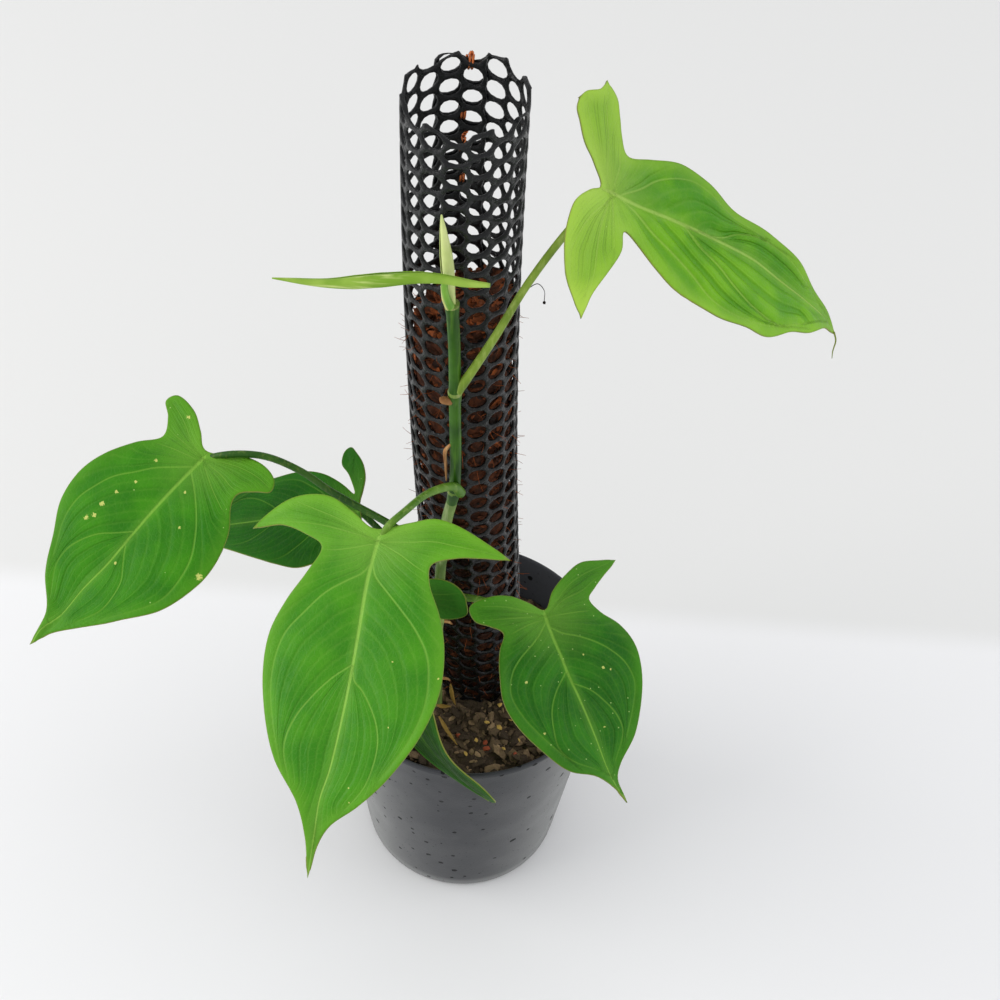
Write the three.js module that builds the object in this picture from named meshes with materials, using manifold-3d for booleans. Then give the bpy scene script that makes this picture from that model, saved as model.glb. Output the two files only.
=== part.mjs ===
// A climbing aroid with three-lobed leaves, in a plastic nursery pot with a rolled-net moss pole.
// Millimetres, +Z up. The origin is the middle of the pot's foot, where it stands.
// +X is to the right and +Y is away from someone who looks at the front of the plant.

import * as THREE from 'three';
import Module from 'manifold-3d';
import { mergeVertices } from 'three/addons/utils/BufferGeometryUtils.js';

// Driving dimensions of the pot.
const POT = { height: 170, rimRadius: 75, footRadius: 57.8, wall: 1.6, floor: 2.4, footRounding: 3 };
const POT_SIDES = 48;
const DRAIN = { count: 6, ringRadius: 40, radius: 6 };

// Driving dimensions of the pole. Its axis leans, and bends upright over its upper part.
const POLE = { radius: 25.2, thickness: 2.3, foot: 22, netStart: 143, top: 571 };
const POLE_AXIS = { topX: -12.7, topY: -6.7, topZ: 570, leanY: 0.0157, bend: 0.000114, bendLength: 273 };
const NET = { columns: 10, pitch: 16.8, holeShare: 0.72, seamAngle: 95 };
const POLE_CUT_TILT = 3;
const FOOT_SIDES = 20;

// Driving dimensions of the fillings.
const CLEARANCE = 0.35;
const SOIL = { frontHeight: 161, backHeight: 134, mound: 9, moundWidth: 16, lump: 1.7 };
const SOIL_RINGS = [1, 0.92, 0.8, 0.64, 0.5, 0.36, 0.18, 0];
const SOIL_SIDES = 40;
const HOLE_SIDES = 30;
const COIR = { radius: 21.9, foot: 24, topLeft: 442, topRight: 464, lump: 0.9, sides: 14, rings: 16 };

// Driving dimensions of the plant.
const STEM_RADIUS = 2.6;
const NODE_BULGE = 0.45;
const BLADE_THICKNESS = 0.8;
const PETIOLE_SIDES = 6;
const STALK_RADIUS = { foot: 2.1, top: 1.6 };
const STALK_STEPS = 12;
const RIB_SHARES = [0.05, 0.2, 0.38, 0.56];
const RING_SHARES = [0.4, 0.76, 1];
const EDGE_STEP = 11;
const STEM_STEPS = 32;
const STEM_SIDES = 8;
const NODE_LENGTH = 3.5;
const NODE_HEIGHTS = [213, 246, 268, 303, 357, 427, 482];

// The copper wire that laces the seam of the net, and the rows of the net that it holds.
const TIE = { wire: 0.7, tall: 3.7, deep: 2.9 };
const TIE_ROWS = [24, 23, 22, 21, 16, 10, 4];

const wasm = await Module();
wasm.setup();

// Materials, one for each finish of the real plant.
const finish = (color, roughness) => new THREE.MeshStandardMaterial({ color, roughness, metalness: 0 });
const potPlastic = finish(0x4b4d50, 0.5);
const netPlastic = finish(0x17191c, 0.5);
const bark = finish(0x2c1d14, 0.95);
const coir = finish(0x7a3d1c, 0.95);
const copper = new THREE.MeshStandardMaterial({ color: 0xb5622f, roughness: 0.35, metalness: 1 });
const stemGreen = finish(0x5d8c38, 0.5);
const leafGreen = finish(0x4c9a2a, 0.45);
const darkLeafGreen = finish(0x2f6b24, 0.45);
const limeGreen = finish(0x74b83a, 0.45);
const paleGreen = finish(0xb9cf7e, 0.5);

const group = new THREE.Group();

// Adds one named solid to the model.
function place(name, geometry, material) {
  const mesh = new THREE.Mesh(geometry, material);
  mesh.name = name;
  group.add(mesh);
  return mesh;
}

// Turns a closed geometry into a solid that can be joined or cut.
function toSolid(geometry) {
  const bare = geometry.clone();
  bare.deleteAttribute('normal');
  bare.deleteAttribute('uv');
  const merged = mergeVertices(bare, 1e-4);
  const vertProperties = new Float32Array(merged.attributes.position.array);
  const corners = Array.from(merged.index.array);
  const triVerts = new Uint32Array(corners.filter((_, i) => {
    const [a, b, c] = corners.slice(i - (i % 3), i - (i % 3) + 3);
    return a !== b && b !== c && c !== a;
  }));
  return new wasm.Manifold(new wasm.Mesh({ numProp: 3, vertProperties, triVerts }));
}

// Turns a solid back into a geometry, keeping only its largest connected body.
function toGeometry(solid) {
  const bodies = solid.decompose();
  const largest = bodies.reduce((a, b) => (b.volume() > a.volume() ? b : a));
  const { vertProperties, triVerts } = largest.getMesh();
  const geometry = new THREE.BufferGeometry();
  geometry.setAttribute('position', new THREE.BufferAttribute(new Float32Array(vertProperties), 3));
  geometry.setIndex(new THREE.BufferAttribute(new Uint32Array(triVerts), 1));
  return geometry;
}

// Builds a geometry from points and triangles given as lists.
function fromLists(points, triangles) {
  const geometry = new THREE.BufferGeometry();
  geometry.setFromPoints(points);
  geometry.setIndex(triangles.flat());
  return geometry;
}

// The middle of the pole at a height.
function poleCentre(z) {
  const { topX, topY, topZ, leanY, bend, bendLength } = POLE_AXIS;
  const down = topZ - z;
  const bent = THREE.MathUtils.clamp(down, 0, bendLength);
  const x = topX + bend * bent * bent + 2 * bend * bendLength * Math.max(down - bendLength, 0);
  return new THREE.Vector3(x, topY + leanY * down, z);
}

// A point on or in the pole, by angle round it, height and distance from its axis.
function onPole(angle, z, radius) {
  const centre = poleCentre(z);
  return new THREE.Vector3(centre.x + radius * Math.cos(angle), centre.y + radius * Math.sin(angle), z);
}

// A closed tube round a list of points, with a radius at each point.
function sweptTube(points, radii, sides) {
  const vertices = [];
  const triangles = [];
  let side = new THREE.Vector3(0, 1, 0);
  points.forEach((point, i) => {
    const before = points[Math.max(i - 1, 0)];
    const after = points[Math.min(i + 1, points.length - 1)];
    const tangent = after.clone().sub(before).normalize();
    if (i === 0 && Math.abs(tangent.y) > 0.9) side = new THREE.Vector3(1, 0, 0);
    side = side.clone().addScaledVector(tangent, -side.dot(tangent)).normalize();
    const across = tangent.clone().cross(side);
    for (let k = 0; k < sides; k += 1) {
      const turn = (2 * Math.PI * k) / sides;
      const offset = side.clone().multiplyScalar(Math.cos(turn)).addScaledVector(across, Math.sin(turn));
      vertices.push(point.clone().addScaledVector(offset, radii[i]));
    }
  });
  for (let i = 0; i + 1 < points.length; i += 1) {
    for (let k = 0; k < sides; k += 1) {
      const a = i * sides + k;
      const b = i * sides + ((k + 1) % sides);
      triangles.push([a, b, b + sides], [a, b + sides, a + sides]);
    }
  }
  const last = (points.length - 1) * sides;
  for (let k = 1; k + 1 < sides; k += 1) {
    triangles.push([0, k + 1, k], [last, last + k, last + k + 1]);
  }
  return fromLists(vertices, triangles);
}

// Points spaced along a smooth curve through hand-set places.
function smoothPath(places, steps) {
  const points = places.map((p) => new THREE.Vector3(...p));
  return new THREE.CatmullRomCurve3(points, false, 'centripetal').getSpacedPoints(steps);
}

// The pot: a tapered thin wall with a softened foot and drain holes in its floor.
function pot() {
  const { height, rimRadius, footRadius, wall, floor, footRounding } = POT;
  const profile = [
    [0, 0],
    [footRadius - footRounding, 0],
    [footRadius - 0.3 * footRounding, 0.3 * footRounding],
    [footRadius + 0.1 * footRounding, footRounding],
    [rimRadius, height],
    [rimRadius - wall, height],
    [footRadius - wall, floor + footRounding],
    [footRadius - footRounding - wall, floor],
    [0, floor],
  ];
  const shell = new THREE.LatheGeometry(profile.map((p) => new THREE.Vector2(...p)), POT_SIDES);
  shell.rotateX(Math.PI / 2);
  let solid = toSolid(shell);
  for (let i = 0; i < DRAIN.count; i += 1) {
    const hole = new THREE.CylinderGeometry(DRAIN.radius, DRAIN.radius, 4 * floor, 12);
    hole.rotateX(Math.PI / 2);
    const turn = (2 * Math.PI * i) / DRAIN.count;
    hole.translate(DRAIN.ringRadius * Math.cos(turn), DRAIN.ringRadius * Math.sin(turn), 0);
    solid = solid.subtract(toSolid(hole));
  }
  return toGeometry(solid);
}

// The height of the potting mix: higher in front and heaped round the pole, with lumps of bark.
function soilHeight(x, y) {
  const across = THREE.MathUtils.clamp((y / POT.rimRadius + 1) / 2, 0, 1);
  const slope = THREE.MathUtils.lerp(SOIL.frontHeight, SOIL.backHeight, across);
  const centre = poleCentre(slope);
  const fromPole = Math.max(Math.hypot(x - centre.x, y - centre.y) - POLE.radius, 0);
  const heap = SOIL.mound * Math.exp(-((fromPole / SOIL.moundWidth) ** 2));
  const lumps = Math.sin(0.31 * x + 1.3) * Math.cos(0.27 * y) + Math.sin(0.52 * y + 0.19 * x);
  return slope + heap + SOIL.lump * lumps;
}

// The potting mix: fills the pot, and has plain holes for the pole and the stem.
function pottingMix(stemClear) {
  const inside = (z) => {
    const share = z / POT.height;
    return THREE.MathUtils.lerp(POT.footRadius, POT.rimRadius, share) - POT.wall - CLEARANCE;
  };
  const bottom = POT.floor + CLEARANCE;
  const bevelTop = POT.floor + 2 * POT.footRounding;
  const profile = [
    [0, bottom],
    [inside(0) - POT.footRounding - 1, bottom],
    [inside(bevelTop) - CLEARANCE, bevelTop],
    ...SOIL_RINGS.map((share) => [share * inside(SOIL.backHeight), POT.height]),
  ];
  const body = new THREE.LatheGeometry(profile.map((p) => new THREE.Vector2(...p)), SOIL_SIDES);
  body.rotateX(Math.PI / 2);
  const spot = body.attributes.position;
  for (let i = 0; i < spot.count; i += 1) {
    if (spot.getZ(i) > SOIL.frontHeight) {
      const x = spot.getX(i);
      const y = spot.getY(i);
      const top = soilHeight(x, y);
      const stretch = inside(top) / inside(SOIL.backHeight);
      spot.setXYZ(i, x * stretch, y * stretch, top);
    }
  }
  const reach = [POLE.foot - CLEARANCE, POT.height + SOIL.mound].map(poleCentre);
  const hole = sweptTube(reach, reach.map(() => POLE.radius + CLEARANCE), HOLE_SIDES);
  return toGeometry(toSolid(body).subtract(toSolid(hole)).subtract(stemClear));
}

// The pole: a sheet of plastic net with six-sided holes, rolled into a tube. Each cell of the net
// has its own hole loop on the inner radius. The strands meet in ridges on the outer radius.
function poleNet() {
  const { columns, pitch, holeShare, seamAngle } = NET;
  const rows = Math.ceil((POLE.top - POLE.netStart) / pitch) + 1;
  const columnTurn = (2 * Math.PI) / columns;
  const pointReach = (2 / 3) * columnTurn;
  const inner = POLE.radius - POLE.thickness;
  const points = [];
  const index = new Map();
  const wrap = (column) => (column + columns) % columns;
  const isCell = (cell) => cell.row >= 0 && cell.row < rows;

  // Corners run round a cell from its right point, counterclockwise from outside.
  const cornerTurns = [1, 0.5, -0.5, -1, -0.5, 0.5];
  const cornerLifts = [0, 0.5, 0.5, 0, -0.5, -0.5];
  const centreZ = (cell) => POLE.netStart + pitch * (cell.row + (wrap(cell.column) % 2) / 2);
  const centreTurn = (cell) => THREE.MathUtils.degToRad(seamAngle) + columnTurn * cell.column;

  function vertex(key, angle, z, radius) {
    if (!index.has(key)) {
      index.set(key, points.length);
      points.push(onPole(angle, z, radius));
    }
    return index.get(key);
  }
  function neighbour(cell, sideways, up) {
    const odd = wrap(cell.column) % 2;
    const row = up ? cell.row + odd : cell.row - 1 + odd;
    return { column: wrap(cell.column + sideways), row };
  }
  // A ridge corner is named after the cell whose right or left point it is.
  function corner(cell, k) {
    const owners = [
      [cell, 'right'],
      [neighbour(cell, 1, true), 'left'],
      [neighbour(cell, -1, true), 'right'],
      [cell, 'left'],
      [neighbour(cell, -1, false), 'right'],
      [neighbour(cell, 1, false), 'left'],
    ];
    const [owner, end] = owners[k];
    return `${owner.column},${owner.row},${end}`;
  }
  function ridge(cell, k) {
    const angle = centreTurn(cell) + pointReach * cornerTurns[k];
    return vertex(corner(cell, k), angle, centreZ(cell) + pitch * cornerLifts[k], POLE.radius);
  }
  function hole(cell, k) {
    const angle = centreTurn(cell) + holeShare * pointReach * cornerTurns[k];
    const z = centreZ(cell) + holeShare * pitch * cornerLifts[k];
    return vertex(`${cell.column},${cell.row},hole,${k}`, angle, z, inner);
  }

  // Every ridge corner collects the three cells round it, and every strand the two beside it.
  const corners = new Map();
  const strands = new Map();
  for (let row = -1; row <= rows; row += 1) {
    for (let column = 0; column < columns; column += 1) {
      const cell = { column, row };
      for (let k = 0; k < 6; k += 1) {
        const here = corner(cell, k);
        const next = corner(cell, (k + 1) % 6);
        if (!corners.has(here)) corners.set(here, []);
        corners.get(here).push({ cell, k });
        const strand = [here, next].sort().join('|');
        if (!strands.has(strand)) strands.set(strand, []);
        strands.get(strand).push({ cell, k });
      }
    }
  }
  const triangles = [];
  const used = new Set();
  strands.forEach((sides) => {
    if (!sides.some((side) => isCell(side.cell))) return;
    sides.forEach(({ cell, k }) => {
      const l = (k + 1) % 6;
      used.add(corner(cell, k));
      used.add(corner(cell, l));
      triangles.push([ridge(cell, k), ridge(cell, l), hole(cell, l)]);
      triangles.push([ridge(cell, k), hole(cell, l), hole(cell, k)]);
    });
    const [a, b, c, d] = sides.flatMap(({ cell, k }) => [hole(cell, k), hole(cell, (k + 1) % 6)]);
    triangles.push([a, b, c], [a, c, d]);
  });
  // A strand that would run out past the last row is missing, and its stump is closed.
  corners.forEach((around, name) => {
    if (!used.has(name)) return;
    const order = around.slice().sort((p, q) => q.k - p.k);
    const ends = order.map(({ cell, k }) => hole(cell, k));
    triangles.push(ends);
    const real = order.findIndex(({ cell }) => isCell(cell));
    const alone = order.filter(({ cell }) => isCell(cell)).length === 1;
    if (alone) {
      const { cell, k } = order[real];
      triangles.push([ridge(cell, k), ends[(real + 2) % 3], ends[(real + 1) % 3]]);
    }
  });
  const net = toSolid(fromLists(points, triangles));

  // The buried foot of the pole is a plain tube, and the top is cut straight through the strands.
  const footPath = [POLE.foot, POLE.netStart + pitch / 4].map(poleCentre);
  const footOutside = toSolid(sweptTube(footPath, [POLE.radius, POLE.radius], FOOT_SIDES));
  const longer = [POLE.foot - pitch, POLE.netStart + pitch].map(poleCentre);
  const footInner = inner - CLEARANCE;
  const footInside = toSolid(sweptTube(longer, [footInner, footInner], FOOT_SIDES));
  const knife = new THREE.BoxGeometry(4 * POLE.radius, 4 * POLE.radius, 2 * POLE.radius);
  knife.translate(0, 0, POLE.radius);
  knife.rotateX(THREE.MathUtils.degToRad(POLE_CUT_TILT));
  knife.translate(...poleCentre(POLE.top).toArray());
  return toGeometry(net.add(footOutside.subtract(footInside)).subtract(toSolid(knife)));
}

// A ring of copper wire round one level strand of the net, on the seam. The extra thickens the wire.
function copperTie(row, extra) {
  const { wire, tall, deep } = TIE;
  const ring = new THREE.TorusGeometry(1, (wire + extra) / tall, 5, 10);
  ring.scale(deep, tall, tall);
  const angle = THREE.MathUtils.degToRad(NET.seamAngle);
  ring.rotateX(Math.PI / 2);
  ring.rotateZ(angle);
  const z = POLE.netStart + NET.pitch * (row + 0.5);
  ring.translate(...onPole(angle, z, POLE.radius - POLE.thickness / 2).toArray());
  return ring;
}

// The coir chips packed inside the net: a rough plug whose top slants down to the left, with a
// pocket for each tie that reaches into it.
function coirFill() {
  const plug = new THREE.CylinderGeometry(1, 1, 1, COIR.sides, COIR.rings);
  plug.rotateX(Math.PI / 2);
  const spot = plug.attributes.position;
  for (let i = 0; i < spot.count; i += 1) {
    const across = spot.getX(i);
    const share = spot.getZ(i) + 0.5;
    const angle = Math.atan2(spot.getY(i), across);
    const top = THREE.MathUtils.mapLinear(across, -1, 1, COIR.topLeft, COIR.topRight);
    const z = THREE.MathUtils.lerp(COIR.foot, top, share);
    const rough = Math.sin(5 * angle + 0.09 * z) * Math.cos(3 * angle - 0.13 * z);
    const reach = Math.hypot(across, spot.getY(i)) * (COIR.radius - COIR.lump * (1 + rough) / 2);
    spot.setXYZ(i, ...onPole(angle, z, reach).toArray());
  }
  const pockets = TIE_ROWS.map((row) => toSolid(copperTie(row, CLEARANCE)));
  return toGeometry(pockets.reduce((solid, pocket) => solid.subtract(pocket), toSolid(plug)));
}

// The stem climbs the front of the pole and swells at each node.
function stemRadius(z) {
  const swell = NODE_HEIGHTS.map((height) => Math.exp(-(((z - height) / NODE_LENGTH) ** 2)));
  return STEM_RADIUS + NODE_BULGE * Math.max(...swell);
}

// The extra makes the stem thicker and longer, for the room that its neighbours leave round it.
function stem(path, extra) {
  const points = path.map((p) => p.clone());
  points[0].z -= extra;
  points.at(-1).z += extra;
  return sweptTube(points, points.map((p) => stemRadius(p.z) + extra), STEM_SIDES);
}

// Points round the edge of a blade, from hand-set places in the blade's own plane.
function bladeEdge(outline) {
  const places = outline.map(([a, b]) => new THREE.Vector3(a, b, 0));
  const curve = new THREE.CatmullRomCurve3(places, true, 'centripetal');
  const edge = [];
  outline.forEach(([a, b], i) => {
    const [c, d] = outline[(i + 1) % outline.length];
    const steps = Math.max(1, Math.round(Math.hypot(c - a, d - b) / EDGE_STEP));
    for (let k = 0; k < steps; k += 1) edge.push(curve.getPoint((i + k / steps) / outline.length));
  });
  return edge;
}

// The frame of a blade: along runs from the leaf stalk to the tip, up is the upper face.
function bladeFrame(leaf) {
  const base = new THREE.Vector3(...leaf.base);
  const along = new THREE.Vector3(...leaf.tip).sub(base);
  const length = along.length();
  along.normalize();
  const up = new THREE.Vector3(...leaf.face);
  up.addScaledVector(along, -up.dot(along)).normalize();
  return { base, along, up, across: up.clone().cross(along), length };
}

// The place in space of a point (a, b) of a blade. The blade arches from stalk to tip, its halves
// rise from the sunken midrib and curl down to the edge, and it may sweep and twist towards the tip.
function onBlade(leaf, frame, a, b, wave = 0) {
  const { base, along, up, across, length } = frame;
  const share = a / length;
  const past = THREE.MathUtils.clamp(share, 0, 1);
  const lift = 4 * leaf.arch * share * (1 - share);
  const hollow = leaf.valley * (Math.sqrt(b * b + 4) - 2) - leaf.curl * b * b;
  const twist = THREE.MathUtils.degToRad(leaf.twist ?? 0) * THREE.MathUtils.smoothstep(past, 0.15, 0.75);
  const side = (leaf.sweep ?? 0) * 4 * past * (1 - past);
  const level = b * Math.cos(twist) - (hollow + wave) * Math.sin(twist);
  const height = b * Math.sin(twist) + (hollow + wave) * Math.cos(twist);
  return base.clone()
    .addScaledVector(along, a)
    .addScaledVector(across, level + side)
    .addScaledVector(up, height + lift);
}

// One blade as a thin waved plate: rings of points run out from the stalk to the edge, and both
// faces are split into triangles alike.
function blade(leaf) {
  const frame = bladeFrame(leaf);
  const edge = bladeEdge(leaf.outline);
  const [startA, startB] = leaf.heart;
  const half = frame.up.clone().multiplyScalar(BLADE_THICKNESS / 2);
  const count = edge.length;
  const upper = [onBlade(leaf, frame, startA, startB)];
  RING_SHARES.forEach((share) => {
    edge.forEach((p, j) => {
      const a = THREE.MathUtils.lerp(startA, p.x, share);
      const b = THREE.MathUtils.lerp(startB, p.y, share);
      const turn = (2 * Math.PI * leaf.waves * j) / count;
      upper.push(onBlade(leaf, frame, a, b, leaf.wave * share ** 3 * Math.sin(turn)));
    });
  });
  const points = [...upper.map((p) => p.clone().add(half)), ...upper.map((p) => p.clone().sub(half))];
  const faces = [];
  for (let j = 0; j < count; j += 1) {
    const next = (j + 1) % count;
    faces.push([0, 1 + j, 1 + next]);
    for (let ring = 0; ring + 1 < RING_SHARES.length; ring += 1) {
      const near = 1 + ring * count;
      const far = near + count;
      faces.push([near + j, far + j, far + next], [near + j, far + next, near + next]);
    }
  }
  const under = faces.map(([a, b, c]) => [a + upper.length, c + upper.length, b + upper.length]);
  const rim = 1 + (RING_SHARES.length - 1) * count;
  const wall = [];
  for (let j = 0; j < count; j += 1) {
    const a = rim + j;
    const b = rim + ((j + 1) % count);
    wall.push([a, a + upper.length, b + upper.length], [a, b + upper.length, b]);
  }
  return fromLists(points, [...faces, ...under, ...wall]);
}

// The stalk of a leaf: it leaves the stem, reaches the blade from below and runs on as the midrib.
function stalk(leaf) {
  const frame = bladeFrame(leaf);
  const rib = RIB_SHARES.map((share) => {
    const point = onBlade(leaf, frame, share * frame.length, 0);
    return point.addScaledVector(frame.up, -BLADE_THICKNESS / 2);
  });
  const free = smoothPath([...leaf.stalk, rib[0].toArray()], STALK_STEPS);
  const points = [...free, ...rib.slice(1)];
  const radii = points.map((_, i) => {
    const share = Math.min(i / STALK_STEPS, 1);
    const thin = Math.max((i - STALK_STEPS) / (RIB_SHARES.length - 1), 0);
    return THREE.MathUtils.lerp(STALK_RADIUS.foot, STALK_RADIUS.top, share) * (1 - 0.6 * thin);
  });
  return sweptTube(points, radii, PETIOLE_SIDES);
}

// A whole leaf, clipped clear of the stem that carries it.
function leafSolid(leaf, stemClear) {
  const solid = toSolid(blade(leaf)).add(toSolid(stalk(leaf)));
  return toGeometry(solid.subtract(stemClear));
}

// Each leaf has a base where its stalk joins, a tip, a direction that its upper face looks in, and
// the outline of its blade as [along, across] from the base. Its stalk starts inside the stem.
const LEAVES = [
  {
    name: 'leaf_left',
    base: [-122, -40, 380],
    tip: [-189, -116, 338],
    face: [-0.19, -0.34, 0.92],
    heart: [5, 0],
    arch: 6,
    outline: [
      [-3, -2], [-8, -10], [-13, -20], [-13, -32], [-8, -34], [-3, -27], [5, -21], [15, -28],
      [28, -34], [42, -37], [56, -34], [70, -25], [84, -15], [96, -3], [110, 0], [102, 4],
      [92, 13], [78, 26], [62, 38], [46, 42], [32, 41], [18, 36], [7, 27], [2, 26],
      [-4, 31], [-8, 35], [-13, 32], [-15, 24], [-12, 12],
    ],
    stalk: [
      [-16, -30, 303], [-39.7, -35, 333], [-65.5, -37, 357], [-80, -38, 373], [-95, -38.5, 382],
      [-110, -39.5, 383],
    ],
  },
  {
    name: 'leaf_front',
    base: [-40, -82, 386],
    tip: [-59, -203, 308],
    face: [-0.2, -0.5, 0.84],
    heart: [6, 0],
    arch: 9,
    outline: [
      [-4, -3], [-9, -13], [-14, -25], [-13, -36], [-8, -46], [5, -57], [2, -44], [4, -32],
      [8, -23], [20, -26], [34, -32], [48, -36], [66, -35], [84, -30], [100, -22], [116, -9],
      [130, -3], [145, 0], [132, 2], [123, 6], [112, 17], [98, 28], [78, 38], [59, 42],
      [42, 40], [28, 35], [14, 27], [7, 26], [2, 36], [0, 46], [-2, 56], [-7, 46],
      [-12, 32], [-13, 22], [-9, 11],
    ],
    stalk: [[-7.5, -33.5, 359], [-10.5, -38, 369], [-21, -52, 381], [-30, -69, 389], [-36, -77, 389]],
  },
  {
    name: 'leaf_right',
    base: [35, -70, 319],
    tip: [77, -141.5, 279.5],
    face: [0.37, -0.28, 0.89],
    heart: [6, 0],
    arch: 6,
    outline: [
      [-2, 1], [-8, -5], [-14, -12], [-17, -22], [-16, -32], [-9, -33], [-4, -28], [1, -24],
      [8, -30], [18, -36], [30, -40], [44, -38], [58, -31], [70, -23], [77, -11], [85, -4],
      [92, 0], [82, 0], [76, 4], [66, 16], [52, 25], [38, 32], [28, 34], [17, 32],
      [8, 26], [1, 24], [-3, 30], [-7, 38], [-12, 48], [-15, 40], [-17, 31], [-14, 20],
      [-9, 10],
    ],
    stalk: [[-15.8, -29, 268], [-8.1, -35, 277], [-0.5, -42, 287], [14, -55, 303], [29, -66, 316]],
  },
  {
    name: 'leaf_top',
    base: [44, -20, 537],
    tip: [149, -1.5, 448],
    face: [0.6, -0.3, 0.7],
    heart: [6, 1],
    arch: 8,
    wave: 2.2,
    waves: 7,
    outline: [
      [-8, -3], [-14, -10], [-16, -18], [-16, -28], [-12, -38], [-6, -46], [0, -52], [1, -44],
      [4, -34], [7, -24], [8, -15], [24, -23], [39, -29], [56, -31], [74, -28], [90, -25],
      [103, -17], [115, -12], [127, -4], [138, 0], [132, 5], [118, 9], [100, 14], [80, 17],
      [60, 18], [42, 22], [28, 23], [14, 19], [5, 17], [1, 24], [-1, 32], [-3, 40],
      [-8, 44], [-12, 39], [-18, 35], [-20, 28], [-18, 23], [-14, 15], [-8, 9], [-3, 1],
    ],
    stalk: [[-11.6, -33.2, 427], [-6.5, -34.6, 440], [4, -32.5, 464], [16, -27, 491], [30, -23.5, 518]],
  },
  {
    name: 'leaf_back_left',
    base: [-57, -20, 321.5],
    tip: [-146, 2, 264],
    face: [-0.3, -0.15, 0.93],
    heart: [5, 0],
    arch: 6,
    outline: [
      [-1, -3], [-2, -10], [-2, -17], [1, -25], [6, -31], [11, -35], [14, -33], [14, -26],
      [8, -19], [3, -9], [10, -14], [20, -19], [33, -22], [50, -21], [66, -20], [80, -15],
      [94, -9], [108, 0], [91, 9], [74, 16], [54, 23], [37, 28], [25, 30], [14, 28],
      [7, 26], [1, 31], [-4, 40], [-8, 44], [-11, 36], [-10, 24], [-6, 12],
    ],
    stalk: [[-16, -28.6, 246], [-24, -29, 268], [-36, -27, 299], [-50, -22.5, 317]],
  },
  {
    name: 'leaf_lower',
    base: [-33, -38, 277],
    tip: [16, -85, 165],
    face: [-0.39, -0.9, 0.22],
    heart: [5, 0],
    arch: 9,
    sweep: -21,
    twist: 24,
    outline: [
      [-3, 0], [-8, -8], [-9, -20], [-3, -32], [5, -37], [8, -27], [13, -21], [26, -26],
      [42, -30], [60, -29], [78, -27], [96, -20], [110, -12], [120, -6], [131, 0], [127, 12],
      [120, 23], [109, 29], [95, 28], [78, 25], [60, 24], [42, 20], [26, 18], [12, 16], [8, 21], [9, 28], [8, 40],
      [1, 37], [-5, 34], [-9, 28], [-10, 20], [-7, 9],
    ],
    stalk: [[-16, -27.8, 213], [-22, -33, 228], [-28, -37, 248], [-32, -37, 268]],
  },
].map((leaf) => ({ valley: 0.22, curl: 0.0052, wave: 1.1, waves: 5, ...leaf }));

// The stem runs up the front of the pole from deep in the potting mix.
const STEM_PLACES = [
  [-13, -25.4, 40], [-15.5, -27.3, 160], [-16, -28.2, 215], [-16.2, -29.3, 270], [-15.4, -30.2, 303],
  [-13.4, -31.5, 335], [-10.4, -32.4, 360], [-11.5, -33.4, 423], [-12.4, -34, 456], [-14, -34.6, 484],
];

const stemPath = smoothPath(STEM_PLACES, STEM_STEPS);
const stemClear = toSolid(stem(stemPath, CLEARANCE));

place('pot', pot(), potPlastic);
place('potting_mix', pottingMix(stemClear), bark);
place('pole_net', poleNet(), netPlastic);
place('coir_fill', coirFill(), coir);
TIE_ROWS.forEach((row, i) => place(`copper_tie_${i + 1}`, copperTie(row, 0), copper));
place('stem', stem(stemPath, 0), stemGreen);
const greens = { leaf_top: limeGreen, leaf_back_left: darkLeafGreen, leaf_lower: darkLeafGreen };
LEAVES.forEach((leaf) => place(leaf.name, leafSolid(leaf, stemClear), greens[leaf.name] ?? leafGreen));

// The next shoot stands upright on the stem's end, wrapped in its pale sheath.
const SHOOT_PLACES = [
  [-14, -34.4, 482], [-15.2, -34.1, 494], [-16.5, -34, 508], [-17.8, -34, 520], [-19, -34.2, 531.5],
];
const SHOOT_RADII = [1.9, 2.1, 2.6, 2.8, 2.6, 2, 1.3, 0.5];
const shootPath = smoothPath(SHOOT_PLACES, SHOOT_RADII.length - 1);
const shoot = (extra) => toSolid(sweptTube(shootPath, SHOOT_RADII.map((r) => r + extra), STEM_SIDES));
place('shoot', toGeometry(shoot(0).subtract(stemClear)), paleGreen);

// The new leaf is still rolled into a spindle, on a short stalk from the top of the stem.
const SPINDLE_PLACES = [
  [-84, -44, 501], [-62, -42.3, 498.6], [-41, -41.3, 501.4], [-29, -41, 503.6], [-18, -41, 504],
  [-8, -42, 503.6], [1, -43, 504.4],
];
const SPINDLE_RADII = [0.5, 1.3, 2, 3, 3.1, 2.7, 2.2, 1.9, 1.3];
const SPINDLE_STALK_PLACES = [[-14, -34.6, 481], [-15.2, -38.6, 489], [-16.5, -41, 497], [-17, -41, 503]];
const SPINDLE_STALK_RADIUS = 1.4;
const spindlePath = smoothPath(SPINDLE_PLACES, SPINDLE_RADII.length - 1);
const spindle = toSolid(sweptTube(spindlePath, SPINDLE_RADII, STEM_SIDES));
const stalkPath = smoothPath(SPINDLE_STALK_PLACES, PETIOLE_SIDES);
const stalkRadii = stalkPath.map(() => SPINDLE_STALK_RADIUS);
const spindleStalk = toSolid(sweptTube(stalkPath, stalkRadii, PETIOLE_SIDES));
const rolledLeaf = spindle.add(spindleStalk).subtract(stemClear).subtract(shoot(CLEARANCE));
place('rolled_leaf', toGeometry(rolledLeaf), limeGreen);

export default group;
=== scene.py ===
# %% [markdown]
# A climbing aroid with three-lobed leaves stands in a charcoal nursery pot. Its one stem climbs a pole made of
# black plastic net, rolled into a tube and filled with coir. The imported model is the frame: every piece here is
# made in the same place, and stands for one of its nodes.

# %% Load the frame
import math
import random
from functools import partial

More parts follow.
